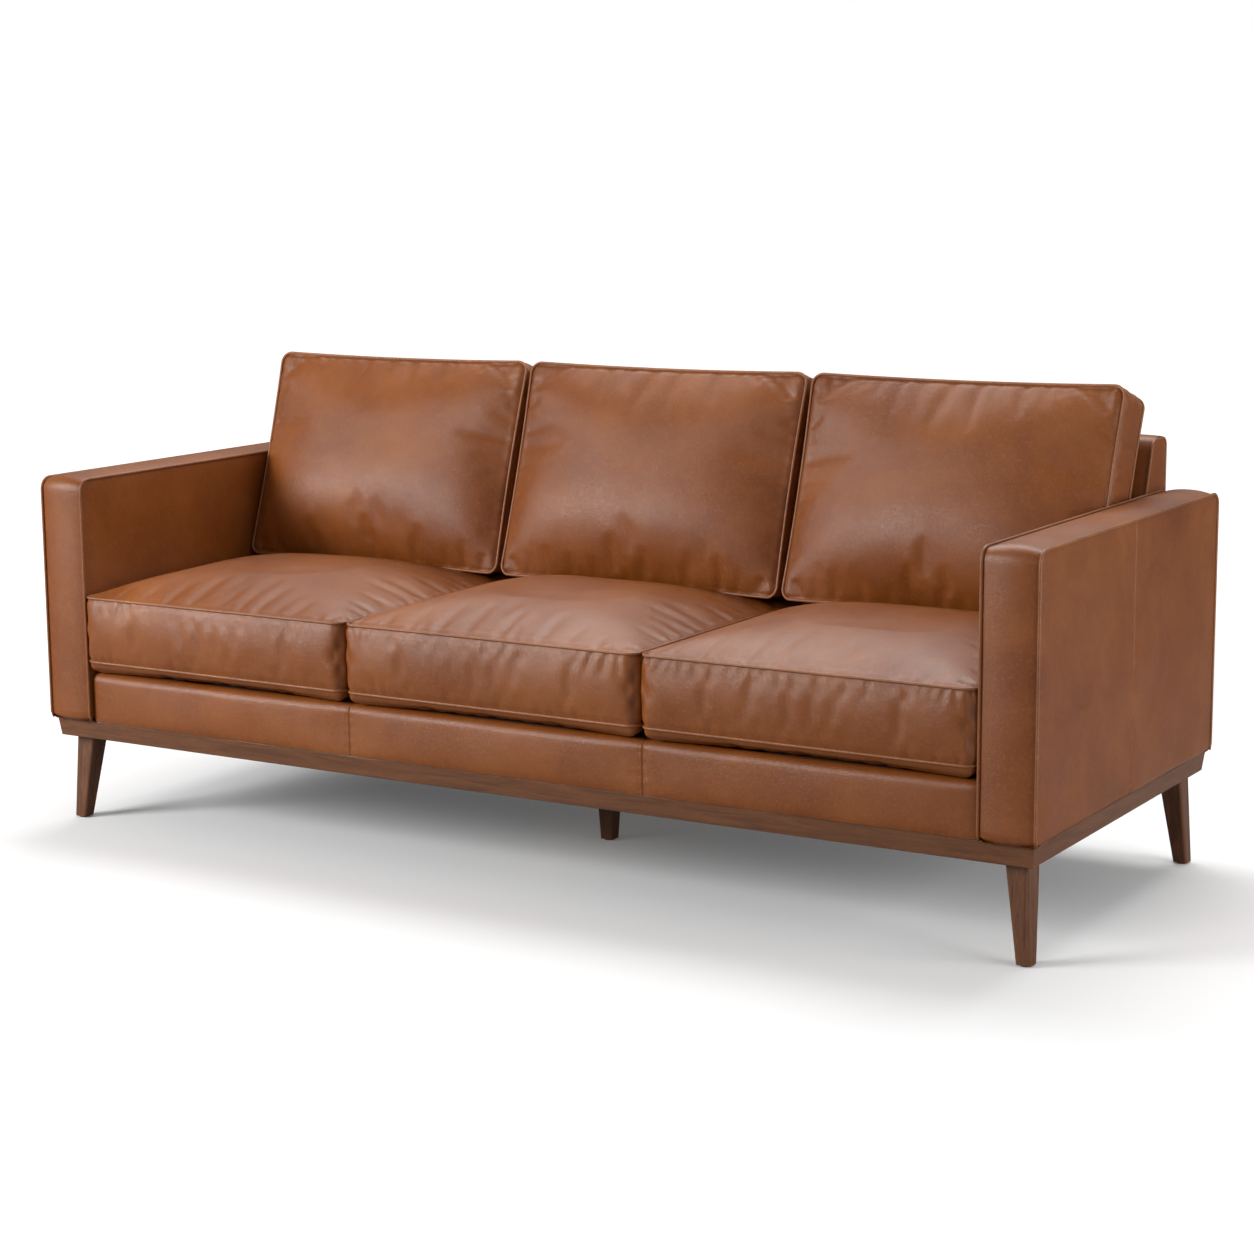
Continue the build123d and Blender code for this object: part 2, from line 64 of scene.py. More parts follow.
def grid_faces(rows, columns, closed=False):
    """Quads of a grid of vertices stored row by row; closed joins the last column to the first."""
    faces = []
    last = columns if closed else columns - 1
    for i in range(rows - 1):
        for j in range(last):
            a = i * columns + j
            b = i * columns + (j + 1) % columns
            faces.append((a, b, b + columns, a + columns))
    return faces


def mesh_object(name, vertices, faces, material, weld=0.0):
    """A smooth-shaded object from vertices and faces, with its faces all turned one way."""
    mesh = bpy.data.meshes.new(name)
    mesh.from_pydata([tuple(map(float, v)) for v in vertices], [], faces)
    work = bmesh.new()
    work.from_mesh(mesh)
    if weld:
        bmesh.ops.remove_doubles(work, verts=work.verts, dist=weld)
    bmesh.ops.recalc_face_normals(work, faces=work.faces)
    work.to_mesh(mesh)
    work.free()
    mesh.polygons.foreach_set("use_smooth", [True] * len(mesh.polygons))
    mesh.materials.append(material)
    piece = bpy.data.objects.new(name, mesh)
    bpy.context.scene.collection.objects.link(piece)
    return piece


def place(piece, body, slot, *nodes):
    """Rides the piece on its body and hides the CAD nodes that it stands for."""
    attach(piece, body)
    if nodes:
        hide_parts(*nodes)


def tube_mesh(points, radius, closed=False, sides=8):
    """Vertices and faces of a round cord along points, with capped ends unless it is closed."""
    points = np.asarray(points, dtype=float)
    if closed:
        ahead = np.roll(points, -1, axis=0) - np.roll(points, 1, axis=0)
    else:
        ahead = np.gradient(points, axis=0)
    ahead /= np.linalg.norm(ahead, axis=1)[:, None]
    normal = np.cross(ahead[0], (0.31, 0.52, 0.79))
    rings = []
    angles = np.arange(sides) * 2 * math.pi / sides
    for point, direction in zip(points, ahead):
        normal = normal - direction * normal.dot(direction)
        normal /= np.linalg.norm(normal)
        side = np.cross(direction, normal)
        rings.append(point + radius * (np.outer(np.cos(angles), normal) + np.outer(np.sin(angles), side)))
    if closed:
        rings.append(rings[0])
    vertices = np.concatenate(rings)
    faces = grid_faces(len(rings), sides, closed=True)
    if not closed:
        faces.append(tuple(range(sides)))
        faces.append(tuple(reversed(range(len(vertices) - sides, len(vertices)))))
    return vertices, faces


def joined(parts):
    """One list of vertices and faces from several."""
    vertices, faces, start = [], [], 0
    for part_vertices, part_faces in parts:
        vertices.append(np.asarray(part_vertices, dtype=float).reshape(-1, 3))
        faces += [tuple(start + i for i in face) for face in part_faces]
        start += len(vertices[-1])
    return np.concatenate(vertices), faces


WAVE_COUNT = 7
WAVE_GAIN = 1.6


def waves(x, y, seed, size):
    """Gentle uneven swells, mostly between -1 and 1, over a surface, about one size apart."""
    rng = np.random.default_rng(seed)
    total = np.zeros(np.broadcast(x, y).shape)
    for _ in range(WAVE_COUNT):
        angle = rng.uniform(0, 2 * math.pi)
        wave = 2 * math.pi / (size * rng.uniform(0.7, 1.6))
        total += np.sin(wave * (x * math.cos(angle) + y * math.sin(angle)) + rng.uniform(0, 2 * math.pi))
    return total / WAVE_COUNT * WAVE_GAIN


# -------- materials

class Nodes:
    """Short calls for building a material's node tree."""

    def __init__(self, name):
        self.material = bpy.data.materials.new(name)
        self.material.use_nodes = True
        self.tree = self.material.node_tree
        self.shader = self.tree.nodes["Principled BSDF"]
        self.coords = self.tree.nodes.new("ShaderNodeTexCoord").outputs["Object"]

    def link(self, source, target):
        self.tree.links.new(source, target)

    def feed(self, socket, source):
        self.link(source, self.shader.inputs[socket])

    def put(self, socket, value):
        self.shader.inputs[socket].default_value = value

    def scaled(self, scale):
        node = self.tree.nodes.new("ShaderNodeMapping")
        node.inputs["Scale"].default_value = scale
        self.link(self.coords, node.inputs["Vector"])
        return node.outputs["Vector"]

    def noise(self, scale, detail=3.0, roughness=0.55, vector=None, distortion=0.0):
        node = self.tree.nodes.new("ShaderNodeTexNoise")
        node.inputs["Scale"].default_value = scale
        node.inputs["Detail"].default_value = detail
        node.inputs["Roughness"].default_value = roughness
        node.inputs["Distortion"].default_value = distortion
        self.link(vector or self.coords, node.inputs["Vector"])
        return node.outputs["Fac"]

    def cells(self, scale, feature="DISTANCE_TO_EDGE"):
        node = self.tree.nodes.new("ShaderNodeTexVoronoi")
        node.feature = feature
        node.inputs["Scale"].default_value = scale
        self.link(self.coords, node.inputs["Vector"])
        return node.outputs["Distance"]

    def remap(self, source, low, high, to_low=0.0, to_high=1.0):
        node = self.tree.nodes.new("ShaderNodeMapRange")
        node.inputs["From Min"].default_value = low
        node.inputs["From Max"].default_value = high
        node.inputs["To Min"].default_value = to_low
        node.inputs["To Max"].default_value = to_high
        self.link(source, node.inputs["Value"])
        return node.outputs["Result"]

    def ramp(self, source, *stops):
        node = self.tree.nodes.new("ShaderNodeValToRGB")
        elements = node.color_ramp.elements
        while len(elements) < len(stops):
            elements.new(0.5)
        for element, (position, colour) in zip(elements, stops):
            element.position = position
            element.color = (*colour, 1.0)
        self.link(source, node.inputs["Fac"])
        return node.outputs["Color"]

    def mix(self, factor, first, second):
        node = self.tree.nodes.new("ShaderNodeMix")
        node.data_type = "RGBA"
        for value, target in ((factor, node.inputs[0]), (first, node.inputs[6]), (second, node.inputs[7])):
            if isinstance(value, (int, float)):
                target.default_value = value
            elif isinstance(value, tuple):
                target.default_value = (*value, 1.0)
            else:
                self.link(value, target)
        return node.outputs[2]

    def bump(self, height, strength, distance, normal=None):
        node = self.tree.nodes.new("ShaderNodeBump")
        node.inputs["Strength"].default_value = strength
        node.inputs["Distance"].default_value = distance
        self.link(height, node.inputs["Height"])
        if normal:
            self.link(normal, node.inputs["Normal"])
        return node.outputs["Normal"]

    def wear_and_fold_shade(self):
        """1 on sharp outward edges, 0.5 on flat stretches, lower in folds; it marks worn edges and the folds
        that get painted shade.
        """
        return self.tree.nodes.new("ShaderNodeNewGeometry").outputs["Pointiness"]


def shaded(colour, amount):
    """The colour, lighter or darker by a factor."""
    return tuple(amount * c for c in colour)


# Scales of the leather's patterns, in cells per metre.
CLOUDS = 5.5
GLOSS_PATCHES = 9.0
STREAKS = 26.0
CREASES = 60.0
FLECKS = 170.0
SPECKS = 300.0
PEBBLES = 560.0


def leather(name, light, middle, dark, roughness=0.37):
    """Semi-gloss pull-up leather: mottled dye, fine pebbled grain, paler worn edges and painted shade
    darkening its folds.
    """
    n = Nodes(name)
    cloudy = n.noise(CLOUDS, detail=5.0, roughness=0.60, distortion=0.3)
    base = n.ramp(cloudy, (0.28, dark), (0.50, middle), (0.74, light))
    streaks = n.noise(STREAKS, detail=5.0, roughness=0.65, distortion=0.8)
    streaks = n.remap(streaks, 0.40, 0.70, 0.0, 0.30)
    base = n.mix(streaks, base, dark)
    flecks = n.remap(n.noise(FLECKS, detail=3.0), 0.52, 0.70, 0.0, 0.50)
    base = n.mix(flecks, base, light)
    specks = n.remap(n.noise(SPECKS, detail=2.0), 0.54, 0.70, 0.0, 0.42)
    base = n.mix(specks, base, dark)
    edges = n.remap(n.wear_and_fold_shade(), 0.507, 0.57, 0.0, 0.40)
    base = n.mix(edges, base, light)
    # Painted shade: folds and crevices are darkened towards a very dark brown, where shade would fall.
    fold_shade = n.remap(n.wear_and_fold_shade(), 0.494, 0.43, 0.0, 0.75)
    base = n.mix(fold_shade, base, shaded(dark, 0.35))
    n.feed("Base Color", base)
    gloss = n.remap(n.noise(GLOSS_PATCHES, detail=5.0), 0.3, 0.7, roughness - 0.05, roughness + 0.07)
    n.feed("Roughness", gloss)
    pebbles = n.remap(n.cells(PEBBLES), 0.0, 0.30, 0.0, 1.0)
    grain = n.bump(pebbles, 0.40, 0.0004)
    wrinkled = n.noise(CREASES, detail=6.0, roughness=0.62, distortion=0.8)
    creases = n.bump(wrinkled, 0.16, 0.0020, grain)
    n.feed("Normal", creases)
    n.put("Specular IOR Level", 0.48)
    return n.material


GRAIN_FIGURE = 9.0
GRAIN_PORES = 99.0


def timber(name, stretch, pale, dark, roughness=0.42):
    """Oiled wood whose grain runs along the axis with the smallest stretch."""
    n = Nodes(name)
    along = n.scaled(stretch)
    figure = n.noise(GRAIN_FIGURE, detail=6.0, roughness=0.62, vector=along, distortion=1.1)
    fine = n.noise(GRAIN_PORES, detail=4.0, roughness=0.7, vector=along)
    between = tuple((a + b) / 2 for a, b in zip(pale, dark))
    base = n.ramp(figure, (0.32, dark), (0.47, between), (0.66, pale))
    pores = n.remap(fine, 0.52, 0.66, 0.0, 0.55)
    base = n.mix(pores, base, shaded(dark, 0.5))
    edges = n.remap(n.wear_and_fold_shade(), 0.51, 0.60, 0.0, 0.35)
    base = n.mix(edges, base, pale)
    n.feed("Base Color", base)
    n.feed("Roughness", n.remap(fine, 0.3, 0.7, roughness - 0.06, roughness + 0.08))
    n.feed("Normal", n.bump(fine, 0.12, 0.0006))
    return n.material


def cloth(name, colour, thread=420.0):
    """Plain woven cloth of crossing threads."""
    n = Nodes(name)
    threads = []
    for direction in ("X", "Y", "Z"):
        wave = n.tree.nodes.new("ShaderNodeTexWave")
        wave.bands_direction = direction
        wave.inputs["Scale"].default_value = thread
        n.link(n.coords, wave.inputs["Vector"])
        threads.append(wave.outputs["Fac"])
    weave = n.mix(n.remap(n.noise(thread, detail=1.0), 0.4, 0.6), threads[0], threads[1])
    weave = n.mix(0.33, weave, threads[2])
    shade = n.ramp(weave, (0.2, shaded(colour, 0.6)), (0.8, shaded(colour, 1.3)))
    faded = n.remap(n.noise(20.0), 0.3, 0.7, 0.0, 0.3)
    n.feed("Base Color", n.mix(faded, shade, colour))
    n.feed("Normal", n.bump(weave, 0.3, 0.0005))
    n.put("Roughness", 0.9)
    return n.material


def foam(name, colour):
    """Open-cell foam with small pits."""
    n = Nodes(name)
    pits = n.cells(500.0, feature="F1")
    n.feed("Base Color", n.ramp(pits, (0.0, shaded(colour, 0.75)), (0.6, colour)))
    n.feed("Normal", n.bump(pits, 0.4, 0.0006))
    n.put("Roughness", 0.95)
    return n.material


def metal(name, colour, roughness):
    """Plated steel with slightly uneven gloss."""
    n = Nodes(name)
    spots = n.noise(90.0, detail=4.0)
    n.feed("Base Color", n.ramp(spots, (0.3, shaded(colour, 0.8)), (0.7, colour)))
    n.feed("Roughness", n.remap(spots, 0.3, 0.7, roughness - 0.08, roughness + 0.1))
    n.put("Metallic", 1.0)
    return n.material


def plastic(name, colour):
    """Moulded matte plastic."""
    n = Nodes(name)
    stipple = n.noise(900.0, detail=2.0)
    n.feed("Base Color", n.ramp(stipple, (0.3, shaded(colour, 0.8)), (0.7, colour)))
    n.feed("Normal", n.bump(stipple, 0.2, 0.0002))
    n.put("Roughness", 0.6)
    return n.material


TAN = leather("tan_leather", (0.290, 0.089, 0.018), (0.226, 0.062, 0.009), (0.170, 0.041, 0.004))
PIPING = leather("piping_leather", (0.36, 0.130, 0.042), (0.21, 0.062, 0.015), (0.100, 0.026, 0.006), 0.36)
WALNUT_PALE = (0.175, 0.064, 0.023)
WALNUT_DARK = (0.065, 0.021, 0.007)
WALNUT_X = timber("walnut_along_x", (0.7, 9.0, 9.0), WALNUT_PALE, WALNUT_DARK)
WALNUT_Y = timber("walnut_along_y", (9.0, 0.7, 9.0), WALNUT_PALE, WALNUT_DARK)
WALNUT_Z = timber("walnut_along_z", (9.0, 9.0, 0.8), WALNUT_PALE, WALNUT_DARK)
FRAME_WOOD = timber("frame_wood", (0.8, 8.0, 8.0), (0.62, 0.45, 0.27), (0.42, 0.27, 0.15), 0.7)
FOAM = foam("padding_foam", (0.80, 0.74, 0.58))
SPRING_STEEL = metal("spring_steel", (0.40, 0.40, 0.42), 0.4)
ZINC = metal("zinc_steel", (0.66, 0.66, 0.62), 0.3)
DECK_CLOTH = cloth("deck_cloth", (0.045, 0.030, 0.022))
WEBBING = cloth("webbing", (0.16, 0.13, 0.10), 260.0)
DUST_CLOTH = cloth("dust_cloth", (0.020, 0.020, 0.021), 600.0)
GLIDE = plastic("glide_plastic", (0.05, 0.045, 0.04))

NODE_MATERIALS = {
    "plinth_front": WALNUT_X,
    "plinth_rear": WALNUT_X,
    "plinth_left": WALNUT_Y,
    "plinth_right": WALNUT_Y,
    "corner_blocks": FRAME_WOOD,
    "center_beam": FRAME_WOOD,
    "leg_hanger_bolts": ZINC,
    "leg_threaded_inserts": ZINC,
    "plinth_screws": ZINC,
    "foot_glides": GLIDE,
    "dust_cover": DUST_CLOTH,
    "seat_springs": SPRING_STEEL,
    "spring_clips": SPRING_STEEL,
    "seat_deck": DECK_CLOTH,
    "backrest_webbing": WEBBING,
}
for node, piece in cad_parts.items():
    if node in NODE_MATERIALS:
        chosen = NODE_MATERIALS[node]
    elif node.startswith("leg_"):
        chosen = WALNUT_Z
    elif node.endswith(("_padding", "_core")):
        chosen = FOAM
    elif "frame" in node:
        chosen = FRAME_WOOD
    elif "piping" in node:
        chosen = PIPING
    else:
        chosen = TAN
    piece.data.materials.clear()
    piece.data.materials.append(chosen)


# -------- arms

# SUNK is how far leather lies below its face at the stitches, and HEM is what it turns in at its foot.
WELT = 0.0027
WELT_INSET = WELT * 0.6
SUNK = 0.0022
ARM_CORNER = 0.022
ARM_FOOT_ROUND = 0.009
REAR_FOOT_ROUND = 0.002
BAND_CROWN = 0.0082
BAND_COLUMNS = 19
HEM = 0.016
HEM_LIFT = 0.0002
PANEL_STEP = 0.014
PANEL_FINE_STEP = 0.0036
PANEL_EDGE = 0.030
OUTER_PUFF = 0.0030
INNER_PUFF = 0.0018
ARM_SEAM_LINES = np.array([-9, -6, -3.6, -2.2, -1.1, 0, 1.1, 2.2, 3.6, 6, 9]) * 0.001
ARM_STITCH = 0.023


def spaced(low, high, step):
    """Even positions from low to high, about one step apart."""
    return np.linspace(low, high, max(2, int(round((high - low) / step)) + 1))


def outline_run(front, rear, bottom, top, corner, step=0.010):
    """Points and outward normals up the front, over the top and down the rear of a side outline."""
    points, normals = [], []
    for z in spaced(bottom, top - corner, step):
        points.append((front, z))
        normals.append((-1.0, 0.0))
    for angle in np.linspace(0, math.pi / 2, 9)[1:-1]:
        direction = (-math.cos(angle), math.sin(angle))
        points.append((front + corner + corner * direction[0], top - corner + corner * direction[1]))
        normals.append(direction)
    for y in spaced(front + corner, rear - corner, step):
        points.append((y, top))
        normals.append((0.0, 1.0))
    for angle in np.linspace(0, math.pi / 2, 9)[1:-1]:
        direction = (math.sin(angle), math.cos(angle))
        points.append((rear - corner + corner * direction[0], top - corner + corner * direction[1]))
        normals.append(direction)
    for z in spaced(bottom, top - corner, step)[::-1]:
        points.append((rear, z))
        normals.append((1.0, 0.0))
    return np.array(points), np.array(normals)


def foot_inset(height, radius):
    """How far a face steps in near its lower edge, so that the edge is a quarter round."""
    rise = np.clip(radius - height, 0.0, radius)
    return radius - np.sqrt(np.maximum(radius * radius - rise * rise, 0.0))


def arm_band(low_x, high_x, front, rear, bottom, top, seed):
    """Strip of leather over the front, top and rear of an arm, softly crowned between its welts."""
    points, normals = outline_run(front, rear, bottom, top, ARM_CORNER)
    across = np.sin(np.linspace(-math.pi / 2, math.pi / 2, BAND_COLUMNS)) * 0.5 + 0.5
    run = np.concatenate([[0.0], np.cumsum(np.linalg.norm(np.diff(points, axis=0), axis=1))])
    s, t = np.meshgrid(run, across, indexing="ij")
    crown = BAND_CROWN * (1 - np.abs(2 * t - 1) ** 2.2) - SUNK
    crown += 0.0007 * waves(s, t * 0.1, seed, 0.16) * (1 - np.abs(2 * t - 1) ** 4)
    height = points[:, 1][:, None] - bottom
    crown -= foot_inset(height + 0 * t, ARM_FOOT_ROUND)
    x = low_x + WELT_INSET + (high_x - low_x - 2 * WELT_INSET) * t
    y = points[:, 0][:, None] + normals[:, 0][:, None] * crown
    z = points[:, 1][:, None] + normals[:, 1][:, None] * crown
    vertices = np.stack([x, y, z], axis=-1)
    under_front = vertices[0] + (0.0, HEM, HEM_LIFT)
    under_rear = vertices[-1] + (0.0, -HEM, HEM_LIFT)
    vertices = np.concatenate([[under_front], vertices, [under_rear]])
    return vertices.reshape(-1, 3), grid_faces(len(run) + 2, len(across))


def rounded_corner(y, z, front, rear, top, corner):
    """Moves grid points of a square-cornered panel onto one whose two upper corners are round."""
    y, z = y.copy(), z.copy()
    rise = np.clip((z - (top - corner)) / corner, 0.0, 1.0)
    for edge, sign in ((front, -1.0), (rear, 1.0)):
        reach = np.clip((sign * (y - edge) + corner) / corner, 0.0, 1.0)
        inside = (rise > 0) & (reach > 0)
        new_y = edge + sign * (corner * reach * np.sqrt(1 - rise * rise / 2) - corner)
        new_z = top - corner + corner * rise * np.sqrt(1 - reach * reach / 2)
        y = np.where(inside, new_y, y)
        z = np.where(inside, new_z, z)
    return y, z


def edge_lines(low, high, step, fine, reach):
    """Grid lines that are close together near both edges and further apart between them."""
    near = spaced(0.0, reach, fine)
    middle = spaced(low + reach, high - reach, step)
    return np.concatenate([low + near[:-1], middle, high - near[::-1][1:]])


def arm_side(side_x, outward, front, rear, bottom, top, seams, seed, depth):
    """Side panel of an arm: nearly flat, dipping to its welts and to any upright seams."""
    lines = edge_lines(front, rear, PANEL_STEP, PANEL_FINE_STEP, PANEL_EDGE)
    for seam in seams:
        lines = np.concatenate([lines, seam + ARM_SEAM_LINES])
    lines = np.unique(np.round(lines, 6))
    levels = edge_lines(bottom, top, PANEL_STEP, PANEL_FINE_STEP, PANEL_EDGE)
    y, z = np.meshgrid(lines, levels, indexing="ij")
    from_edge = np.minimum(np.minimum(y - front, rear - y), top - z)
    puff = (depth + 0.0008) * (1 - np.exp(-np.maximum(from_edge, 0) / 0.010)) - SUNK
    puff += 0.0009 * waves(y, z, seed, 0.22) * smooth(0.0, 0.06, from_edge)
    for seam in seams:
        away = np.abs(y - seam)
        pucker = 1 + 0.5 * np.sin(z * 2 * math.pi / ARM_STITCH + 3 * np.sin(z * 19))
        puff -= 0.0018 * np.exp(-(away / 0.0032) ** 2) + 0.0007 * pucker * np.exp(-(away / 0.012) ** 2)
    puff -= foot_inset(z - bottom, ARM_FOOT_ROUND)
    y, z = rounded_corner(y, z, front + WELT_INSET, rear - WELT_INSET, top - WELT_INSET, ARM_CORNER)
    y = np.clip(y, front + WELT_INSET, rear - WELT_INSET)
    z = np.minimum(z, top - WELT_INSET)
    vertices = np.stack([side_x + outward * puff, y, z], axis=-1)
    under = vertices[:, :1] + np.array((-outward * HEM, 0.0, HEM_LIFT))
    vertices = np.concatenate([under, vertices], axis=1)
    return vertices.reshape(-1, 3), grid_faces(len(lines), len(levels) + 1)


def arm_welt(x, front, rear, bottom, top):
    """Piping along the edge of an arm."""
    inset = WELT * 0.15
    points, normals = outline_run(front, rear, bottom + 0.001, top, ARM_CORNER, step=0.012)
    height = np.maximum(points[:, 1] - bottom, 0.0)
    points = points - normals * (inset + foot_inset(height, ARM_FOOT_ROUND))[:, None]
    path = np.column_stack([np.full(len(points), x), points])
    return tube_mesh(path, WELT)


def make_arm(name, outward, seed):
    """The band, two side panels and piping of one arm; outward is the sign of X away from the seat."""
    band_low, band_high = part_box(f"{name}_arm_band_cover")
    inner_low, inner_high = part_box(f"{name}_arm_inner_cover")
    outer_low, outer_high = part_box(f"{name}_arm_outer_covers")
    inner_x = inner_low.x if outward > 0 else inner_high.x
    outer_x = outer_high.x if outward > 0 else outer_low.x
    front, rear, bottom, top = band_low.y, band_high.y, band_low.z, band_high.z
    low_x, high_x = min(inner_x, outer_x), max(inner_x, outer_x)
    middle_y = (front + rear) / 2

    vertices, faces = arm_band(low_x, high_x, front, rear, bottom, top, seed)
    band = mesh_object(f"{name}_arm_band", vertices, faces, TAN)
    place(band, BODY, "tan_leather", f"{name}_arm_band_cover", f"{name}_arm_padding")

    vertices, faces = arm_side(outer_x, outward, front, rear, bottom, top, (middle_y,), seed + 1, OUTER_PUFF)
    outer = mesh_object(f"{name}_arm_outer_side", vertices, faces, TAN)
    place(outer, BODY, "tan_leather", f"{name}_arm_outer_covers")

    vertices, faces = arm_side(inner_x, -outward, front, rear, bottom, top, (), seed + 2, INNER_PUFF)
    inner = mesh_object(f"{name}_arm_inner_side", vertices, faces, TAN)
    place(inner, BODY, "tan_leather", f"{name}_arm_inner_cover")

    welts = [arm_welt(x, front, rear, bottom, top) for x in (
        inner_x + outward * WELT * 0.30,
        outer_x - outward * WELT * 0.30,
    )]
    vertices, faces = joined(welts)
    piping = mesh_object(f"{name}_arm_welts", vertices, faces, PIPING)
    place(piping, BODY, "leather_piping", f"{name}_arm_piping")


make_arm("left", -1.0, 11)
make_arm("right", 1.0, 23)


# -------- front rail

RAIL_NOSE = 0.017
RAIL_GRID = (0.012, 0.003, 0.024)
RAIL_PUFF = 0.0030
RAIL_STITCH = 0.019
RAIL_TURN_IN = 0.012
RAIL_SEAM_LINES = np.array([-16, -12, -8, -5, -3.4, -2.2, -1.1, 0, 1.1, 2.2, 3.4, 5, 8, 12, 16]) * 0.001


def front_rail():
    """Padded rail under the seat cushions: three puffed panels with double-stitched seams between them."""
    low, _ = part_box("front_rail_cover_left")
    _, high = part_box("front_rail_cover_right")
    middle_low, middle_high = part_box("front_rail_cover_middle")
    seams = (middle_low.x, middle_high.x)
    nose = RAIL_NOSE
    lines = edge_lines(low.x, high.x, *RAIL_GRID)
    for seam in seams:
        lines = np.concatenate([lines, seam + RAIL_SEAM_LINES])
    lines = np.unique(np.round(lines, 6))
    profile, normals = [], []
    for z in spaced(low.z + 0.0002, high.z - nose, 0.006):
        profile.append((low.y, z))
        normals.append((-1.0, 0.0))
    for angle in np.linspace(0, math.pi / 2, 10)[1:]:
        direction = (-math.cos(angle), math.sin(angle))
        profile.append((low.y + nose + nose * direction[0], high.z - nose + nose * direction[1]))
        normals.append(direction)
    for y in spaced(low.y + nose, high.y + RAIL_TURN_IN, 0.006)[1:]:
        profile.append((y, high.z))
        normals.append((0.0, 1.0))
    profile, normals = np.array(profile), np.array(normals)
    x, row = np.meshgrid(lines, np.arange(len(profile)), indexing="ij")
    y, z = profile[row, 0], profile[row, 1]
    away = np.min([np.abs(x - seam) for seam in (low.x, *seams, high.x)], axis=0)
    span = smooth(0.0, 0.10, away)
    up = (z - low.z) / (high.z - low.z)
    puff = RAIL_PUFF * span * np.sin(np.clip(up, 0, 1) * math.pi) ** 0.6
    puff += 0.0008 * waves(x, z + y, 5, 0.17)
    for seam in seams:
        off = np.abs(x - seam)
        gather = 1 + 0.6 * np.sin(z * 2 * math.pi / RAIL_STITCH + 2.0 * np.sin(z * 31 + seam * 9))
        puff -= 0.0020 * np.exp(-(off / 0.0022) ** 2)
        puff -= 0.0008 * np.exp(-((off - 0.0055) / 0.0016) ** 2)
        puff -= 0.0009 * gather * np.exp(-(off / 0.014) ** 2)
    ends = np.minimum(x - low.x, high.x - x)
    puff -= 0.006 * np.exp(-ends / 0.008)
    puff -= 0.0025 * np.exp(-(z - low.z) / 0.006) * (normals[row, 0] < -0.5)
    vertices = np.stack([x, y + normals[row, 0] * puff, z + normals[row, 1] * puff * 0.4], axis=-1)
    vertices[..., 2] = np.minimum(vertices[..., 2], high.z)
    faces = grid_faces(len(lines), len(profile))
    rail = mesh_object("front_rail_upholstery", vertices.reshape(-1, 3), faces, TAN)
    covers = [f"front_rail_cover_{name}" for name in SEAT_NAMES]
    place(rail, BODY, "tan_leather", "front_rail_padding", *covers)


front_rail()


# -------- backrest frame

BACK_LEAN = math.radians(17.4)
TOP_FRONT_ROUND = 0.014
TOP_REAR_ROUND = 0.017
TOP_CROWN = 0.0040
# Size of each ring of an end panel, and how far it stands out.
END_PANEL_RINGS = ((1.0, -0.0010), (0.93, 0.0006), (0.8, 0.0014), (0.5, 0.0018), (0.0, 0.0018))
END_PANEL_START = 0.02


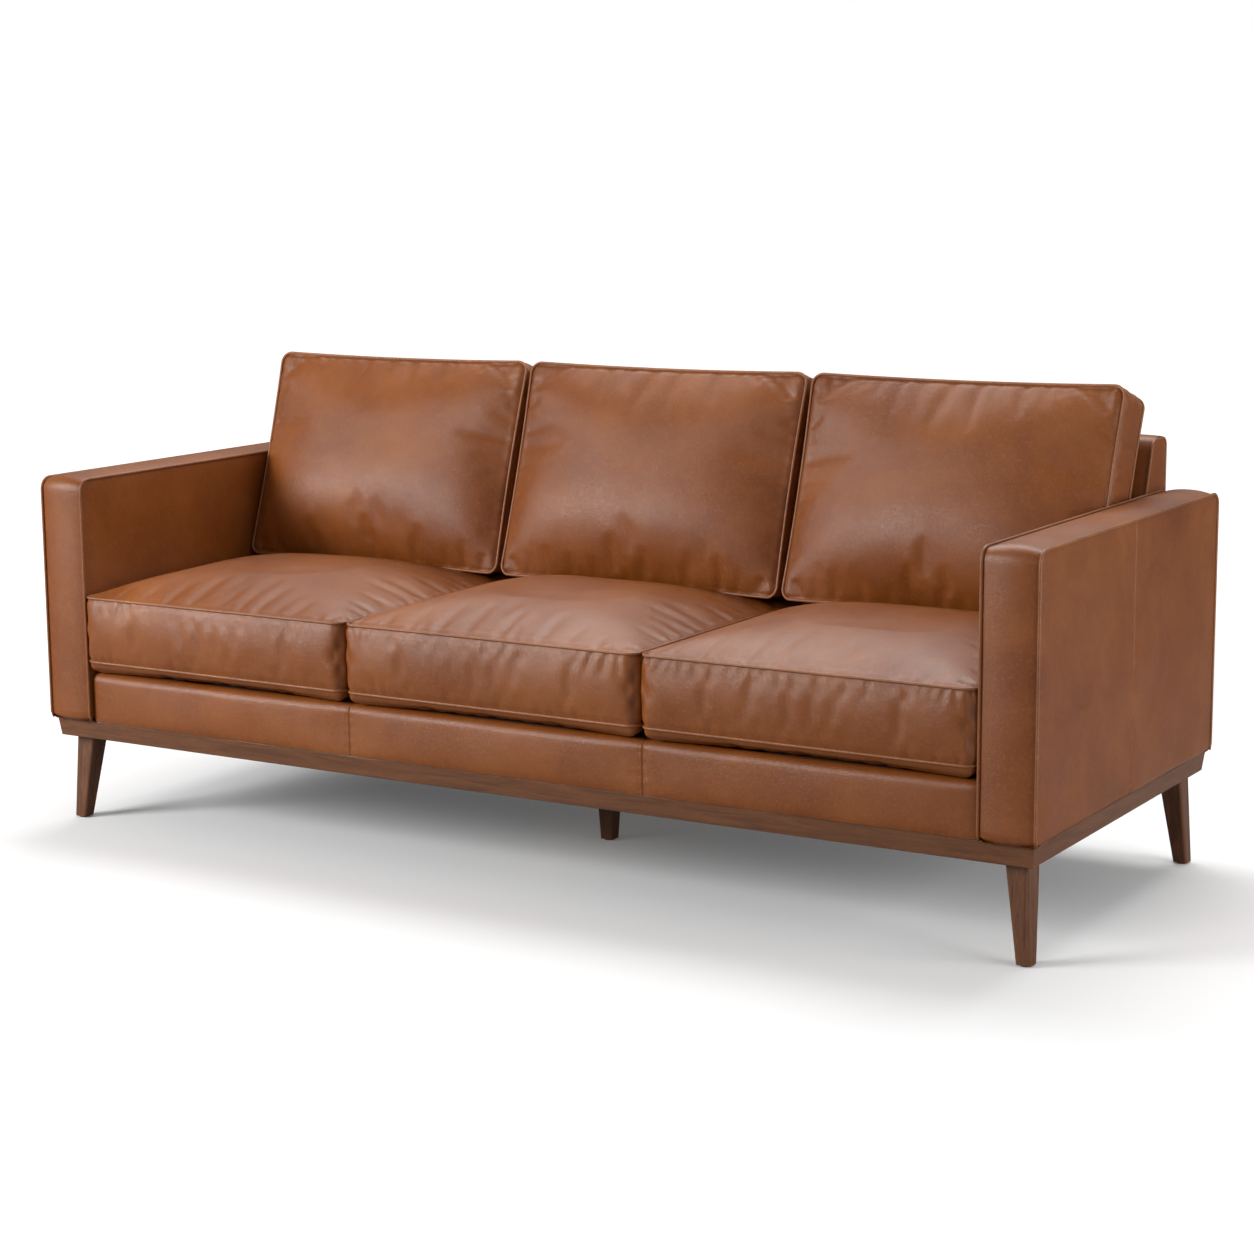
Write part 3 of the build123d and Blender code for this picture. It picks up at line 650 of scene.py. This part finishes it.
def backrest():
    """Upholstered backrest: leaning front, crowned top, plain rear and two end panels edged with piping."""
    low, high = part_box("backrest_front_cover")
    rear_low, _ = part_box("backrest_rear_cover")
    end_low, end_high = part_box("backrest_end_covers")
    arm_top = end_low.z
    lean = math.tan(BACK_LEAN)
    top, rear = high.z, high.y
    crest_front = low.y + (top - low.z) * lean
    front_round, rear_round = TOP_FRONT_ROUND, TOP_REAR_ROUND
    profile = []
    for z in spaced(low.z, top - front_round * 1.4, 0.012):
        profile.append((low.y + (z - low.z) * lean, z))
    start = np.array(profile[-1])
    end = np.array((crest_front + front_round * 1.1, top))
    corner = np.array((crest_front - 0.0002, top))
    for t in np.linspace(0, 1, 8)[1:]:
        profile.append(tuple((1 - t) ** 2 * start + 2 * t * (1 - t) * corner + t * t * end))
    for y in spaced(end[0], rear - rear_round, 0.006)[1:]:
        profile.append((y, top))
    for angle in np.linspace(0, math.pi / 2, 9)[1:]:
        y = rear - rear_round + rear_round * math.sin(angle)
        z = top - rear_round + rear_round * math.cos(angle)
        profile.append((y, z))
    for z in spaced(rear_low.z + 0.0002, top - rear_round, 0.014)[::-1][1:]:
        profile.append((rear, z))
    profile = np.array(profile)
    tangent = np.gradient(profile, axis=0)
    tangent /= np.linalg.norm(tangent, axis=1)[:, None]
    normals = np.column_stack([-tangent[:, 1], tangent[:, 0]])
    half_width = end_high.x - WELT_INSET
    lines = edge_lines(-half_width, half_width, PANEL_STEP, PANEL_FINE_STEP, PANEL_EDGE)
    x, row = np.meshgrid(lines, np.arange(len(profile)), indexing="ij")
    y, z = profile[row, 0], profile[row, 1]
    ends = np.minimum(x - lines[0], lines[-1] - x)
    over_top = smooth(top - 0.03, top - 0.004, z)
    puff = 0.0016 * (1 - np.exp(-ends / 0.012)) - 0.0012
    puff += TOP_CROWN * over_top * np.sin(np.clip((y - crest_front) / (rear - crest_front), 0, 1) * math.pi)
    puff += 0.0010 * waves(x, z + y, 31, 0.25)
    on_rear = y > rear - 0.0005
    puff = np.where(on_rear, puff - 0.0004 - foot_inset(z - rear_low.z, REAR_FOOT_ROUND), puff)
    vertices = np.stack([x, y + normals[row, 0] * puff, z + normals[row, 1] * puff], axis=-1)
    faces = grid_faces(len(lines), len(profile))
    cover = mesh_object("backrest_upholstery", vertices.reshape(-1, 3), faces, TAN)
    place(cover, BODY, "tan_leather", "backrest_front_cover", "backrest_rear_cover", "backrest_padding")

    inside = profile[:, 1] > arm_top - END_PANEL_START
    edge = profile[inside] - normals[inside] * WELT * 0.5
    foot = np.linspace(edge[-1], edge[0], 12)[1:-1]
    outline = np.concatenate([edge, foot])
    centre = outline.mean(axis=0)
    parts, panels = [], []
    for side in (-1.0, 1.0):
        x_edge = side * (end_high.x - WELT * 0.5)
        parts.append(tube_mesh(np.column_stack([np.full(len(edge), x_edge), edge]), WELT))
        rings = []
        for shrink, push in END_PANEL_RINGS:
            ring = centre + (outline - centre) * shrink
            rings.append(np.column_stack([np.full(len(ring), x_edge + side * (push + WELT * 0.2)), ring]))
        panels.append((np.concatenate(rings), grid_faces(len(rings), len(outline), closed=True)))
    vertices, faces = joined(parts)
    piping = mesh_object("backrest_welts", vertices, faces, PIPING)
    place(piping, BODY, "leather_piping", "backrest_piping")
    vertices, faces = joined(panels)
    ends = mesh_object("backrest_end_panels", vertices, faces, TAN, weld=WELD)
    place(ends, BODY, "tan_leather", "backrest_end_covers")


backrest()


# -------- cushions

SEAM_DIP = 0.0018
SEAM_DIP_AT = 0.0045
SEAM_DIP_WIDTH = 0.0035
PANEL_FINE = 104
PANEL_COARSE = 44
BOX_ROWS = 26
BOX_ROWS_COARSE = 7
CORNER_TURN = 0.86

# Spacing of puckers, their share of the cushion's pucker depth, and how far they reach from the seam.
FACE_PUCKERS = (0.026, 0.75, 0.040)
NEAR_PUCKERS = (0.019, 1.0, 0.044)
FAR_PUCKERS = (0.023, 0.7, 0.034)

CLOTH_FRAMES = 20
CLOTH_PRESSURE = 4.0
CLOTH_STRETCH = 15
CLOTH_SHEAR = 8
CLOTH_BENDING = 3.0
SWELL_LIMIT = 0.020

# How each kind of cushion is sewn. roll is the width of the turn of its hidden face, 0 for a domed one.
SEAT_SEWING = SimpleNamespace(
    corner=0.021,
    waist=0.0015,
    side_bulge=0.0065,
    pucker_depth=0.0042,
    power=2.6,
    shoulder=0.60,
    roll=0.030,
    slack=0.007,
)
BACK_SEWING = SimpleNamespace(
    corner=0.023,
    waist=0.0045,
    side_bulge=0.0040,
    pucker_depth=0.0026,
    power=2.3,
    shoulder=0.72,
    roll=0.0,
    slack=0.008,
)


def side_spacing(count):
    """Positions from -1 to 1 along a side, closer together near the corners."""
    t = np.linspace(-1.0, 1.0, count)
    return 0.5 * t + 0.5 * np.sin(t * math.pi / 2)


def rounded_plan(u, v, half_a, half_b, corner, waist):
    """Plan of a cushion panel: a rectangle with round corners whose sides pull in a little between them."""
    x, y = u * half_a, v * half_b
    reach_x = np.clip((np.abs(x) - half_a + corner) / corner, 0, 1)
    reach_y = np.clip((np.abs(y) - half_b + corner) / corner, 0, 1)
    both = (reach_x > 0) & (reach_y > 0)
    new_x = np.sign(x) * (half_a - corner + corner * reach_x * np.sqrt(1 - reach_y ** 2 / 2))
    new_y = np.sign(y) * (half_b - corner + corner * reach_y * np.sqrt(1 - reach_x ** 2 / 2))
    x, y = np.where(both, new_x, x), np.where(both, new_y, y)
    x = x * (1 - waist / half_a * (1 - v ** 2))
    y = y * (1 - waist / half_b * (1 - u ** 2))
    return x, y


def border(positions):
    """The (u, v) positions round the edge of a panel, in order, each corner once."""
    ones = np.ones(len(positions) - 1)
    go, back = positions[:-1], positions[::-1][:-1]
    u = np.concatenate([go, ones, back, -ones])
    v = np.concatenate([-ones, go, ones, back])
    return u, v


def cubic_weights(coarse, fine, closed=False):
    """Matrix that smoothly resamples values at the coarse positions to the fine ones."""
    count = len(coarse)
    matrix = np.zeros((len(fine), count))
    for row, value in enumerate(fine):
        k = int(np.clip(np.searchsorted(coarse, value) - 1, 0, count - 1 if closed else count - 2))
        following = coarse[k + 1] if k + 1 < count else coarse[0] + closed
        t = (value - coarse[k]) / (following - coarse[k])
        weights = (
            -0.5 * t + t * t - 0.5 * t ** 3,
            1 - 2.5 * t * t + 1.5 * t ** 3,
            0.5 * t + 2 * t * t - 1.5 * t ** 3,
            -0.5 * t * t + 0.5 * t ** 3,
        )
        for offset, weight in zip((-1, 0, 1, 2), weights):
            index = (k + offset) % count if closed else int(np.clip(k + offset, 0, count - 1))
            matrix[row, index] += weight
    return matrix


def puckers(along, away, length, seed, spacing, depth, reach):
    """Short uneven creases that run away from a seam, strongest just off the stitches."""
    rng = np.random.default_rng(seed)
    total = np.zeros(along.shape)
    position = rng.uniform(0, spacing)
    while position < length:
        width = rng.uniform(0.0035, 0.0085)
        run = reach * rng.uniform(0.45, 1.35)
        slant = rng.uniform(-0.35, 0.35)
        amount = depth * rng.uniform(0.25, 1.0) * (0.5 + 0.5 * math.sin(position * 17 + seed) ** 2 * 2)
        near = (away < run) & (np.abs(along - position) < 0.06)
        t = np.clip(away[near] / run, 0, 1)
        off = (along[near] - position - slant * away[near]) / (width * (0.7 + 0.9 * t))
        fade = np.sqrt(t * 6 / (1 + 5 * t)) * (1 - t) ** 1.3
        total[near] -= amount * fade * (np.exp(-off ** 2) - 0.45 * np.exp(-((np.abs(off) - 1.7) / 0.8) ** 2))
        position += spacing * rng.uniform(0.45, 1.7)
    return total


class Cushion:
    """A sewn box cushion in its own frame: X across, Y along its depth or height, Z out of its main face."""

    def __init__(self, name, seed, size, crown, back_crown, to_world, sewing):
        self.name = name
        self.seed = seed
        self.half_a, self.half_b, self.boxing = size
        self.crown = crown
        self.back_crown = back_crown
        self.to_world = to_world
        self.sewing = sewing

    def plan(self, u, v):
        """Where a point of a face or of the boxing is across and along the cushion."""
        return rounded_plan(u, v, self.half_a, self.half_b, self.sewing.corner, self.sewing.waist)

    def dome(self, u, v):
        """Fullness of a domed face: 0 at its sides, 1 in its middle."""
        power = self.sewing.power
        return np.maximum((1 - np.abs(u) ** power) * (1 - np.abs(v) ** power), 0.0) ** self.sewing.shoulder

    def rolled(self, u, v):
        """Fullness of a face that turns in a quarter round from its seam and then lies flat."""
        from_edge = np.minimum((1 - np.abs(u)) * self.half_a, (1 - np.abs(v)) * self.half_b)
        return np.sqrt(1 - (1 - np.clip(from_edge / self.sewing.roll, 0, 1)) ** 2)

    def panel(self, u, v, front):
        """Base shape of the main face or the face behind it."""
        x, y = self.plan(u, v)
        if front:
            z = self.crown(u, v) * self.dome(u, v)
        else:
            shape = self.rolled(u, v) if self.sewing.roll else self.dome(u, v)
            z = -self.boxing - self.back_crown * shape
        return np.stack([x, y, z], axis=-1)

    def wall(self, u, v, depth):
        """Base shape of the boxing strip; depth runs from 0 at the main seam to 1 at the other."""
        x, y = self.plan(u, v)
        out_x, out_y = x / self.half_a, y / self.half_b
        flat = np.maximum(np.abs(out_x), np.abs(out_y))
        out_x = np.sign(out_x) * smooth(CORNER_TURN, 1.0, np.abs(out_x) / flat)
        out_y = np.sign(out_y) * smooth(CORNER_TURN, 1.0, np.abs(out_y) / flat)
        size = np.maximum(np.hypot(out_x, out_y), 1e-6)
        bulge = self.sewing.side_bulge * np.maximum(4 * depth * (1 - depth), 0.0) ** 0.7
        corner_tight = 1 - 0.55 * np.minimum(np.abs(u), np.abs(v)) ** 8
        bulge = bulge * corner_tight
        x = x + out_x / size * bulge
        y = y + out_y / size * bulge
        return np.stack([x, y, -self.boxing * depth + 0 * x], axis=-1)

    def simulate(self):
        """Cloth: the closed cover, slack by under a hundredth, swells by pressure between its pinned seams.

        Returns how far the points of the main face, the boxing and the face behind move.
        """
        lines = np.linspace(-1, 1, PANEL_COARSE)
        u, v = np.meshgrid(lines, lines, indexing="ij")
        ring_u, ring_v = border(lines)
        depths = np.linspace(0, 1, BOX_ROWS_COARSE)
        front = self.panel(u, v, True)
        back = self.panel(u, v, False)
        wall = np.stack([self.wall(ring_u, ring_v, d + 0 * ring_u) for d in depths])
        counts = (front.size // 3, wall.size // 3)
        vertices, faces = joined([
            (front, grid_faces(PANEL_COARSE, PANEL_COARSE)),
            (wall, grid_faces(len(depths), len(ring_u), closed=True)),
            (back, grid_faces(PANEL_COARSE, PANEL_COARSE)),
        ])
        piece = mesh_object("swelling", vertices, faces, TAN)
        mesh = piece.data
        work = bmesh.new()
        work.from_mesh(mesh)
        layer = work.verts.layers.int.new("origin")
        for vertex in work.verts:
            vertex[layer] = vertex.index
        targets = {}
        pairs = bmesh.ops.find_doubles(work, verts=work.verts, dist=WELD)["targetmap"]
        for gone, kept in pairs.items():
            targets[gone[layer]] = kept[layer]
        bmesh.ops.weld_verts(work, targetmap=pairs)
        work.verts.ensure_lookup_table()
        kept_index = {vertex[layer]: i for i, vertex in enumerate(work.verts)}
        bmesh.ops.recalc_face_normals(work, faces=work.faces)
        work.to_mesh(mesh)
        work.free()
        seam_places = set()
        ring_total = len(ring_u)
        for row in (0, len(depths) - 1):
            for j in range(ring_total):
                index = counts[0] + row * ring_total + j
                seam_places.add(kept_index[targets.get(index, index)])
        pins = piece.vertex_groups.new(name="seams")
        pins.add(sorted(seam_places), 1.0, "REPLACE")
        cloth_modifier = piece.modifiers.new("swell", "CLOTH")
        settings = cloth_modifier.settings
        settings.quality = 5
        settings.mass = 0.4
        settings.tension_stiffness = CLOTH_STRETCH
        settings.compression_stiffness = CLOTH_STRETCH
        settings.shear_stiffness = CLOTH_SHEAR
        settings.bending_stiffness = CLOTH_BENDING
        settings.shrink_min = -self.sewing.slack
        settings.use_pressure = True
        settings.uniform_pressure_force = CLOTH_PRESSURE
        settings.vertex_group_mass = "seams"
        settings.pin_stiffness = 1.0
        settings.effector_weights.gravity = 0.0
        cloth_modifier.collision_settings.use_collision = False
        cloth_modifier.collision_settings.use_self_collision = False
        cloth_modifier.point_cache.frame_start = 1
        cloth_modifier.point_cache.frame_end = CLOTH_FRAMES
        scene = bpy.context.scene
        for step in range(1, CLOTH_FRAMES + 1):
            scene.frame_set(step)
        evaluated = piece.evaluated_get(bpy.context.evaluated_depsgraph_get())
        moved = np.array([vertex.co for vertex in evaluated.data.vertices])
        scene.frame_set(1)
        bpy.data.objects.remove(piece)
        order = [kept_index[targets.get(i, i)] for i in range(len(vertices))]
        change = moved[order] - vertices
        size = np.linalg.norm(change, axis=1)[:, None]
        change *= np.minimum(1.0, SWELL_LIMIT / np.maximum(size, 1e-9))
        cuts = np.cumsum(counts)
        return (
            change[:cuts[0]].reshape(front.shape),
            change[cuts[0]:cuts[1]].reshape(wall.shape),
            change[cuts[1]:].reshape(back.shape),
        )

    def gathers(self, along, away, length, seed, kind):
        """Puckers of one kind along a seam."""
        spacing, share, reach = kind
        return puckers(along, away, length, seed, spacing, self.sewing.pucker_depth * share, reach)

    def build(self):
        """The finished cover: base shape, simulated swelling, creases at the seams and soft unevenness."""
        lines = side_spacing(PANEL_FINE)
        u, v = np.meshgrid(lines, lines, indexing="ij")
        ring_u, ring_v = border(lines)
        depths = np.linspace(0, 1, BOX_ROWS)
        depth_grid = np.repeat(depths[:, None], len(ring_u), axis=1)
        front = self.panel(u, v, True)
        back = self.panel(u, v, False)
        wall = self.wall(ring_u + 0 * depth_grid, ring_v + 0 * depth_grid, depth_grid)
        swell_front, swell_wall, swell_back = self.simulate()
        coarse = np.linspace(-1, 1, PANEL_COARSE)
        matrix = cubic_weights(coarse, lines)
        front += np.einsum("ia,jb,abk->ijk", matrix, matrix, swell_front)
        back += np.einsum("ia,jb,abk->ijk", matrix, matrix, swell_back)
        quarter = (lines[:-1] + 1) / 8
        ring_fine = np.concatenate([quarter + side / 4 for side in range(4)])
        ring_coarse = np.linspace(0, 1, 4 * (PANEL_COARSE - 1), endpoint=False)
        round_matrix = cubic_weights(ring_coarse, ring_fine, closed=True)
        depth_matrix = cubic_weights(np.linspace(0, 1, BOX_ROWS_COARSE), depths)
        wall += np.einsum("ia,jb,abk->ijk", depth_matrix, round_matrix, swell_wall)

        inner = np.minimum(1 - np.abs(u), 1 - np.abs(v))
        rise = 0.0016 * waves(front[..., 0], front[..., 1], self.seed, 0.21) * smooth(0.0, 0.25, inner)
        a, b = self.half_a, self.half_b
        for k, (along, away, length) in enumerate((
            (front[..., 0] + a, (v + 1) * b, 2 * a),
            (front[..., 0] + a, (1 - v) * b, 2 * a),
            (front[..., 1] + b, (u + 1) * a, 2 * b),
            (front[..., 1] + b, (1 - u) * a, 2 * b),
        )):
            rise += self.gathers(along, away, length, self.seed * 7 + k, FACE_PUCKERS)
        across = np.minimum(front[..., 0] + a, a - front[..., 0])
        beside = np.minimum(across, np.minimum((v + 1) * b, (1 - v) * b))
        front[..., 2] += rise - SEAM_DIP * np.exp(-((beside - SEAM_DIP_AT) / SEAM_DIP_WIDTH) ** 2)

        perimeter = np.concatenate([[0], np.cumsum(np.linalg.norm(np.diff(wall[0], axis=0), axis=1))])
        total = perimeter[-1]
        along = np.repeat(perimeter[None, :], len(depths), axis=0)
        from_near = depth_grid * self.boxing
        from_far = (1 - depth_grid) * self.boxing
        dent = self.gathers(along, from_near, total, self.seed * 13 + 1, NEAR_PUCKERS)
        dent += self.gathers(along, from_far, total, self.seed * 13 + 2, FAR_PUCKERS)
        dent += 0.0010 * waves(along, depth_grid * 0.1, self.seed + 3, 0.15) * np.sin(depth_grid * math.pi)
        from_seam = np.minimum(depth_grid, 1 - depth_grid) * self.boxing
        dent -= SEAM_DIP * np.exp(-((from_seam - SEAM_DIP_AT) / SEAM_DIP_WIDTH) ** 2)
        around = np.roll(wall, -1, axis=1) - np.roll(wall, 1, axis=1)
        outward = np.stack([around[..., 1], -around[..., 0], 0 * dent], axis=-1)
        outward /= np.linalg.norm(outward, axis=-1)[..., None]
        if np.mean(outward[0] * wall[0]) < 0:
            outward = -outward
        wall += outward * dent[..., None]
        front, wall, back = [self.to_world(shape) for shape in (front, wall, back)]
        vertices, faces = joined([
            (front, grid_faces(PANEL_FINE, PANEL_FINE)),
            (wall, grid_faces(len(depths), len(ring_u), closed=True)),
            (back, grid_faces(PANEL_FINE, PANEL_FINE)),
        ])
        return vertices, faces, wall[0], wall[-1]


def cushion_pieces(cushion, body, welt):
    """The cover and the two welts of a cushion, which stand for its CAD cover and core."""
    vertices, faces, near_seam, far_seam = cushion.build()
    cover = mesh_object(cushion.name, vertices, faces, TAN, weld=WELD)
    place(cover, body, "tan_leather", f"{body}_cover", f"{body}_core")
    vertices, faces = joined([tube_mesh(loop, welt, closed=True, sides=7) for loop in (near_seam, far_seam)])
    seams = mesh_object(f"{cushion.name}_welts", vertices, faces, PIPING, weld=0.00001)
    place(seams, body, "leather_piping")


SEAT_UPPER_SEAM = 0.4445
SEAT_LOWER_SEAM = 0.3220
SEAT_CROWN = 0.036
SEAT_CROWN_DROP = 0.013
SEAT_STANDS_PROUD = 0.012
UNDER_BACK_CUSHION = 0.4652
SEAT_WELT = 0.0027
RIPPLE = 0.002
GAP = 0.0002
DECK_GAP = 0.0006


def seat_cushion(name, seed):
    """A seat cushion lies on the deck, lower at its rear, where a back cushion stands on it."""
    body = f"seat_cushion_{name}"
    low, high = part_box(f"{body}_cover")
    centre_x, centre_y = (low.x + high.x) / 2, (low.y + high.y) / 2

    def crown(u, v):
        return SEAT_CROWN - SEAT_CROWN_DROP * smooth(0.15, 0.75, v) + RIPPLE * np.sin(seed + 2 * u)

    def to_world(points):
        world = points + (centre_x, centre_y, SEAT_UPPER_SEAM)
        world[..., 0] = np.clip(world[..., 0], low.x + GAP, high.x - GAP)
        world[..., 1] = np.minimum(world[..., 1], high.y)
        world[..., 2] = np.maximum(world[..., 2], low.z + DECK_GAP)
        under_back = smooth(0.060, 0.095, world[..., 1])
        ceiling = UNDER_BACK_CUSHION * under_back + (high.z + SEAT_STANDS_PROUD) * (1 - under_back)
        world[..., 2] = np.minimum(world[..., 2], ceiling)
        return world

    half_a = (high.x - low.x) / 2 - 0.0032
    half_b = (high.y - low.y) / 2 - 0.003
    size = (half_a, half_b, SEAT_UPPER_SEAM - SEAT_LOWER_SEAM)
    under_crown = (SEAT_LOWER_SEAM - low.z) * 0.97
    cushion = Cushion(body + "_leather", seed, size, crown, under_crown, to_world, SEAT_SEWING)
    cushion_pieces(cushion, body, SEAT_WELT)


BACK_FOOT = Vector((0.0, 0.0933, 0.4640))
BACK_HEIGHT = 0.4217
BACK_BOXING = 0.095
BACK_CROWN = 0.040
BACK_CROWN_LOW = 0.028
BACK_HIDDEN_CROWN = 0.036
BACK_WELT = 0.0029


def back_cushion(name, seed):
    """A back cushion stands on the seat cushion and leans on the backrest, fullest below its middle."""
    body = f"back_cushion_{name}"
    low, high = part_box(f"{body}_cover")
    centre_x = (low.x + high.x) / 2
    up = np.array((0.0, math.sin(BACK_LEAN), math.cos(BACK_LEAN)))
    out = np.array((0.0, -math.cos(BACK_LEAN), math.sin(BACK_LEAN)))
    middle = np.array(BACK_FOOT) + up * BACK_HEIGHT / 2

    def crown(u, v):
        return BACK_CROWN + BACK_CROWN_LOW * smooth(0.4, -0.5, v) + RIPPLE * np.sin(seed + 3 * u)

    def to_world(points):
        world = np.array((centre_x, 0.0, 0.0)) + middle + points[..., 0:1] * np.array((1.0, 0.0, 0.0))
        world = world + points[..., 1:2] * up + points[..., 2:3] * out
        world[..., 0] = np.clip(world[..., 0], low.x + GAP, high.x - GAP)
        world[..., 2] = np.maximum(world[..., 2], low.z + GAP)
        return world

    half_a = (high.x - low.x) / 2 - 0.0040
    half_b = BACK_HEIGHT / 2 - 0.001
    size = (half_a, half_b, BACK_BOXING)
    cushion = Cushion(body + "_leather", seed, size, crown, BACK_HIDDEN_CROWN, to_world, BACK_SEWING)
    cushion_pieces(cushion, body, BACK_WELT)


for number, name in enumerate(SEAT_NAMES):
    seat_cushion(name, 41 + 5 * number)
    back_cushion(name, 73 + 5 * number)


# -------- floor, light and camera

FLOOR_GLOW = 0.07
FAR_GLOW = 0.90
ROOM_LIGHT = 0.25
GLOW_FROM = 1.5
GLOW_TO = 4.5
PAPER_BOUNCED = (0.34, 0.34, 0.34)
PAPER_SEEN = (0.92, 0.92, 0.92)
WHITE = (1.0, 1.0, 1.0, 1)
FLOOR_REACH = 16


def paper():
    """White backdrop paper: it reads as bright white, but bounces only part of its light back."""
    n = Nodes("paper_white")
    n.put("Roughness", 0.9)
    n.put("Specular IOR Level", 0.1)
    n.put("Emission Color", WHITE)
    seen = n.tree.nodes.new("ShaderNodeLightPath").outputs["Is Camera Ray"]
    n.feed("Base Color", n.mix(seen, PAPER_BOUNCED, PAPER_SEEN))
    away = n.tree.nodes.new("ShaderNodeVectorMath")
    away.operation = "LENGTH"
    n.link(n.coords, away.inputs[0])
    rise = n.remap(away.outputs["Value"], GLOW_FROM, GLOW_TO, FLOOR_GLOW, FAR_GLOW)
    rise.node.interpolation_type = "SMOOTHSTEP"
    amount = n.tree.nodes.new("ShaderNodeMath")
    amount.operation = "MULTIPLY"
    n.link(rise, amount.inputs[0])
    n.link(seen, amount.inputs[1])
    n.feed("Emission Strength", amount.outputs[0])
    return n.material


def softbox(name, place_at, aim, size, power):
    """A rectangular area light that faces a point."""
    data = bpy.data.lights.new(name, "AREA")
    data.shape = "RECTANGLE"
    data.size, data.size_y = size
    data.energy = power
    data.spread = math.pi
    lamp = bpy.data.objects.new(name, data)
    lamp.location = place_at
    lamp.rotation_euler = (Vector(aim) - Vector(place_at)).to_track_quat("-Z", "Y").to_euler()
    bpy.context.scene.collection.objects.link(lamp)


def studio():
    """White paper floor, a key softbox on the left front, a wide one above and behind, and weak fills."""
    lines = np.linspace(-FLOOR_REACH, FLOOR_REACH, 17)
    x, y = np.meshgrid(lines, lines, indexing="ij")
    ground = np.stack([x, y, 0 * x], axis=-1)
    floor = mesh_object("floor", ground.reshape(-1, 3), grid_faces(len(lines), len(lines)), paper())

    softbox("key", (-3.0, -3.5, 2.0), (-0.1, 0.0, 0.45), (1.9, 1.5), 205)
    softbox("front", (1.0, -6.0, 2.6), (0.0, 0.0, 0.5), (3.0, 1.2), 24)
    softbox("top", (-0.2, 1.2, 2.9), (0.0, -0.1, 0.35), (3.8, 1.8), 98)
    softbox("side", (3.3, -0.2, 0.80), (1.0, 0.0, 0.40), (1.8, 1.0), 38)
    world = bpy.data.worlds.new("studio")
    bpy.context.scene.world = world
    world.use_nodes = True
    tree = world.node_tree
    background = tree.nodes["Background"]
    background.inputs["Color"].default_value = WHITE
    level = tree.nodes.new("ShaderNodeMapRange")
    level.inputs["To Min"].default_value = ROOM_LIGHT
    level.inputs["To Max"].default_value = 1.0
    tree.links.new(tree.nodes.new("ShaderNodeLightPath").outputs["Is Camera Ray"], level.inputs["Value"])
    tree.links.new(level.outputs["Result"], background.inputs["Strength"])


CAMERA_PLACE = (2.5642, -4.1576, 1.2672)
CAMERA_AZIMUTH = 31.25
CAMERA_ELEVATION = -10.04
CAMERA_ROLL = -0.45
LENS = 77.2


def camera():
    """Seen from the right front, above the top of the back cushions."""
    azimuth = math.radians(CAMERA_AZIMUTH)
    elevation = math.radians(CAMERA_ELEVATION)
    roll = math.radians(CAMERA_ROLL)
    forward = Vector((-math.sin(azimuth) * math.cos(elevation), math.cos(azimuth) * math.cos(elevation),
                      math.sin(elevation)))
    level = Vector((math.cos(azimuth), math.sin(azimuth), 0.0))
    upward = level.cross(forward)
    right = math.cos(roll) * level + math.sin(roll) * upward
    above = math.cos(roll) * upward - math.sin(roll) * level
    turn = Matrix((right, above, -forward)).transposed().to_4x4()
    data = bpy.data.cameras.new("camera")
    data.sensor_width = 36.0
    data.lens = LENS
    data.clip_end = 60.0
    eye = bpy.data.objects.new("camera", data)
    eye.matrix_world = Matrix.Translation(CAMERA_PLACE) @ turn
    bpy.context.scene.collection.objects.link(eye)
    bpy.context.scene.camera = eye


studio()
camera()
bpy.context.scene.view_settings.view_transform = "Standard"
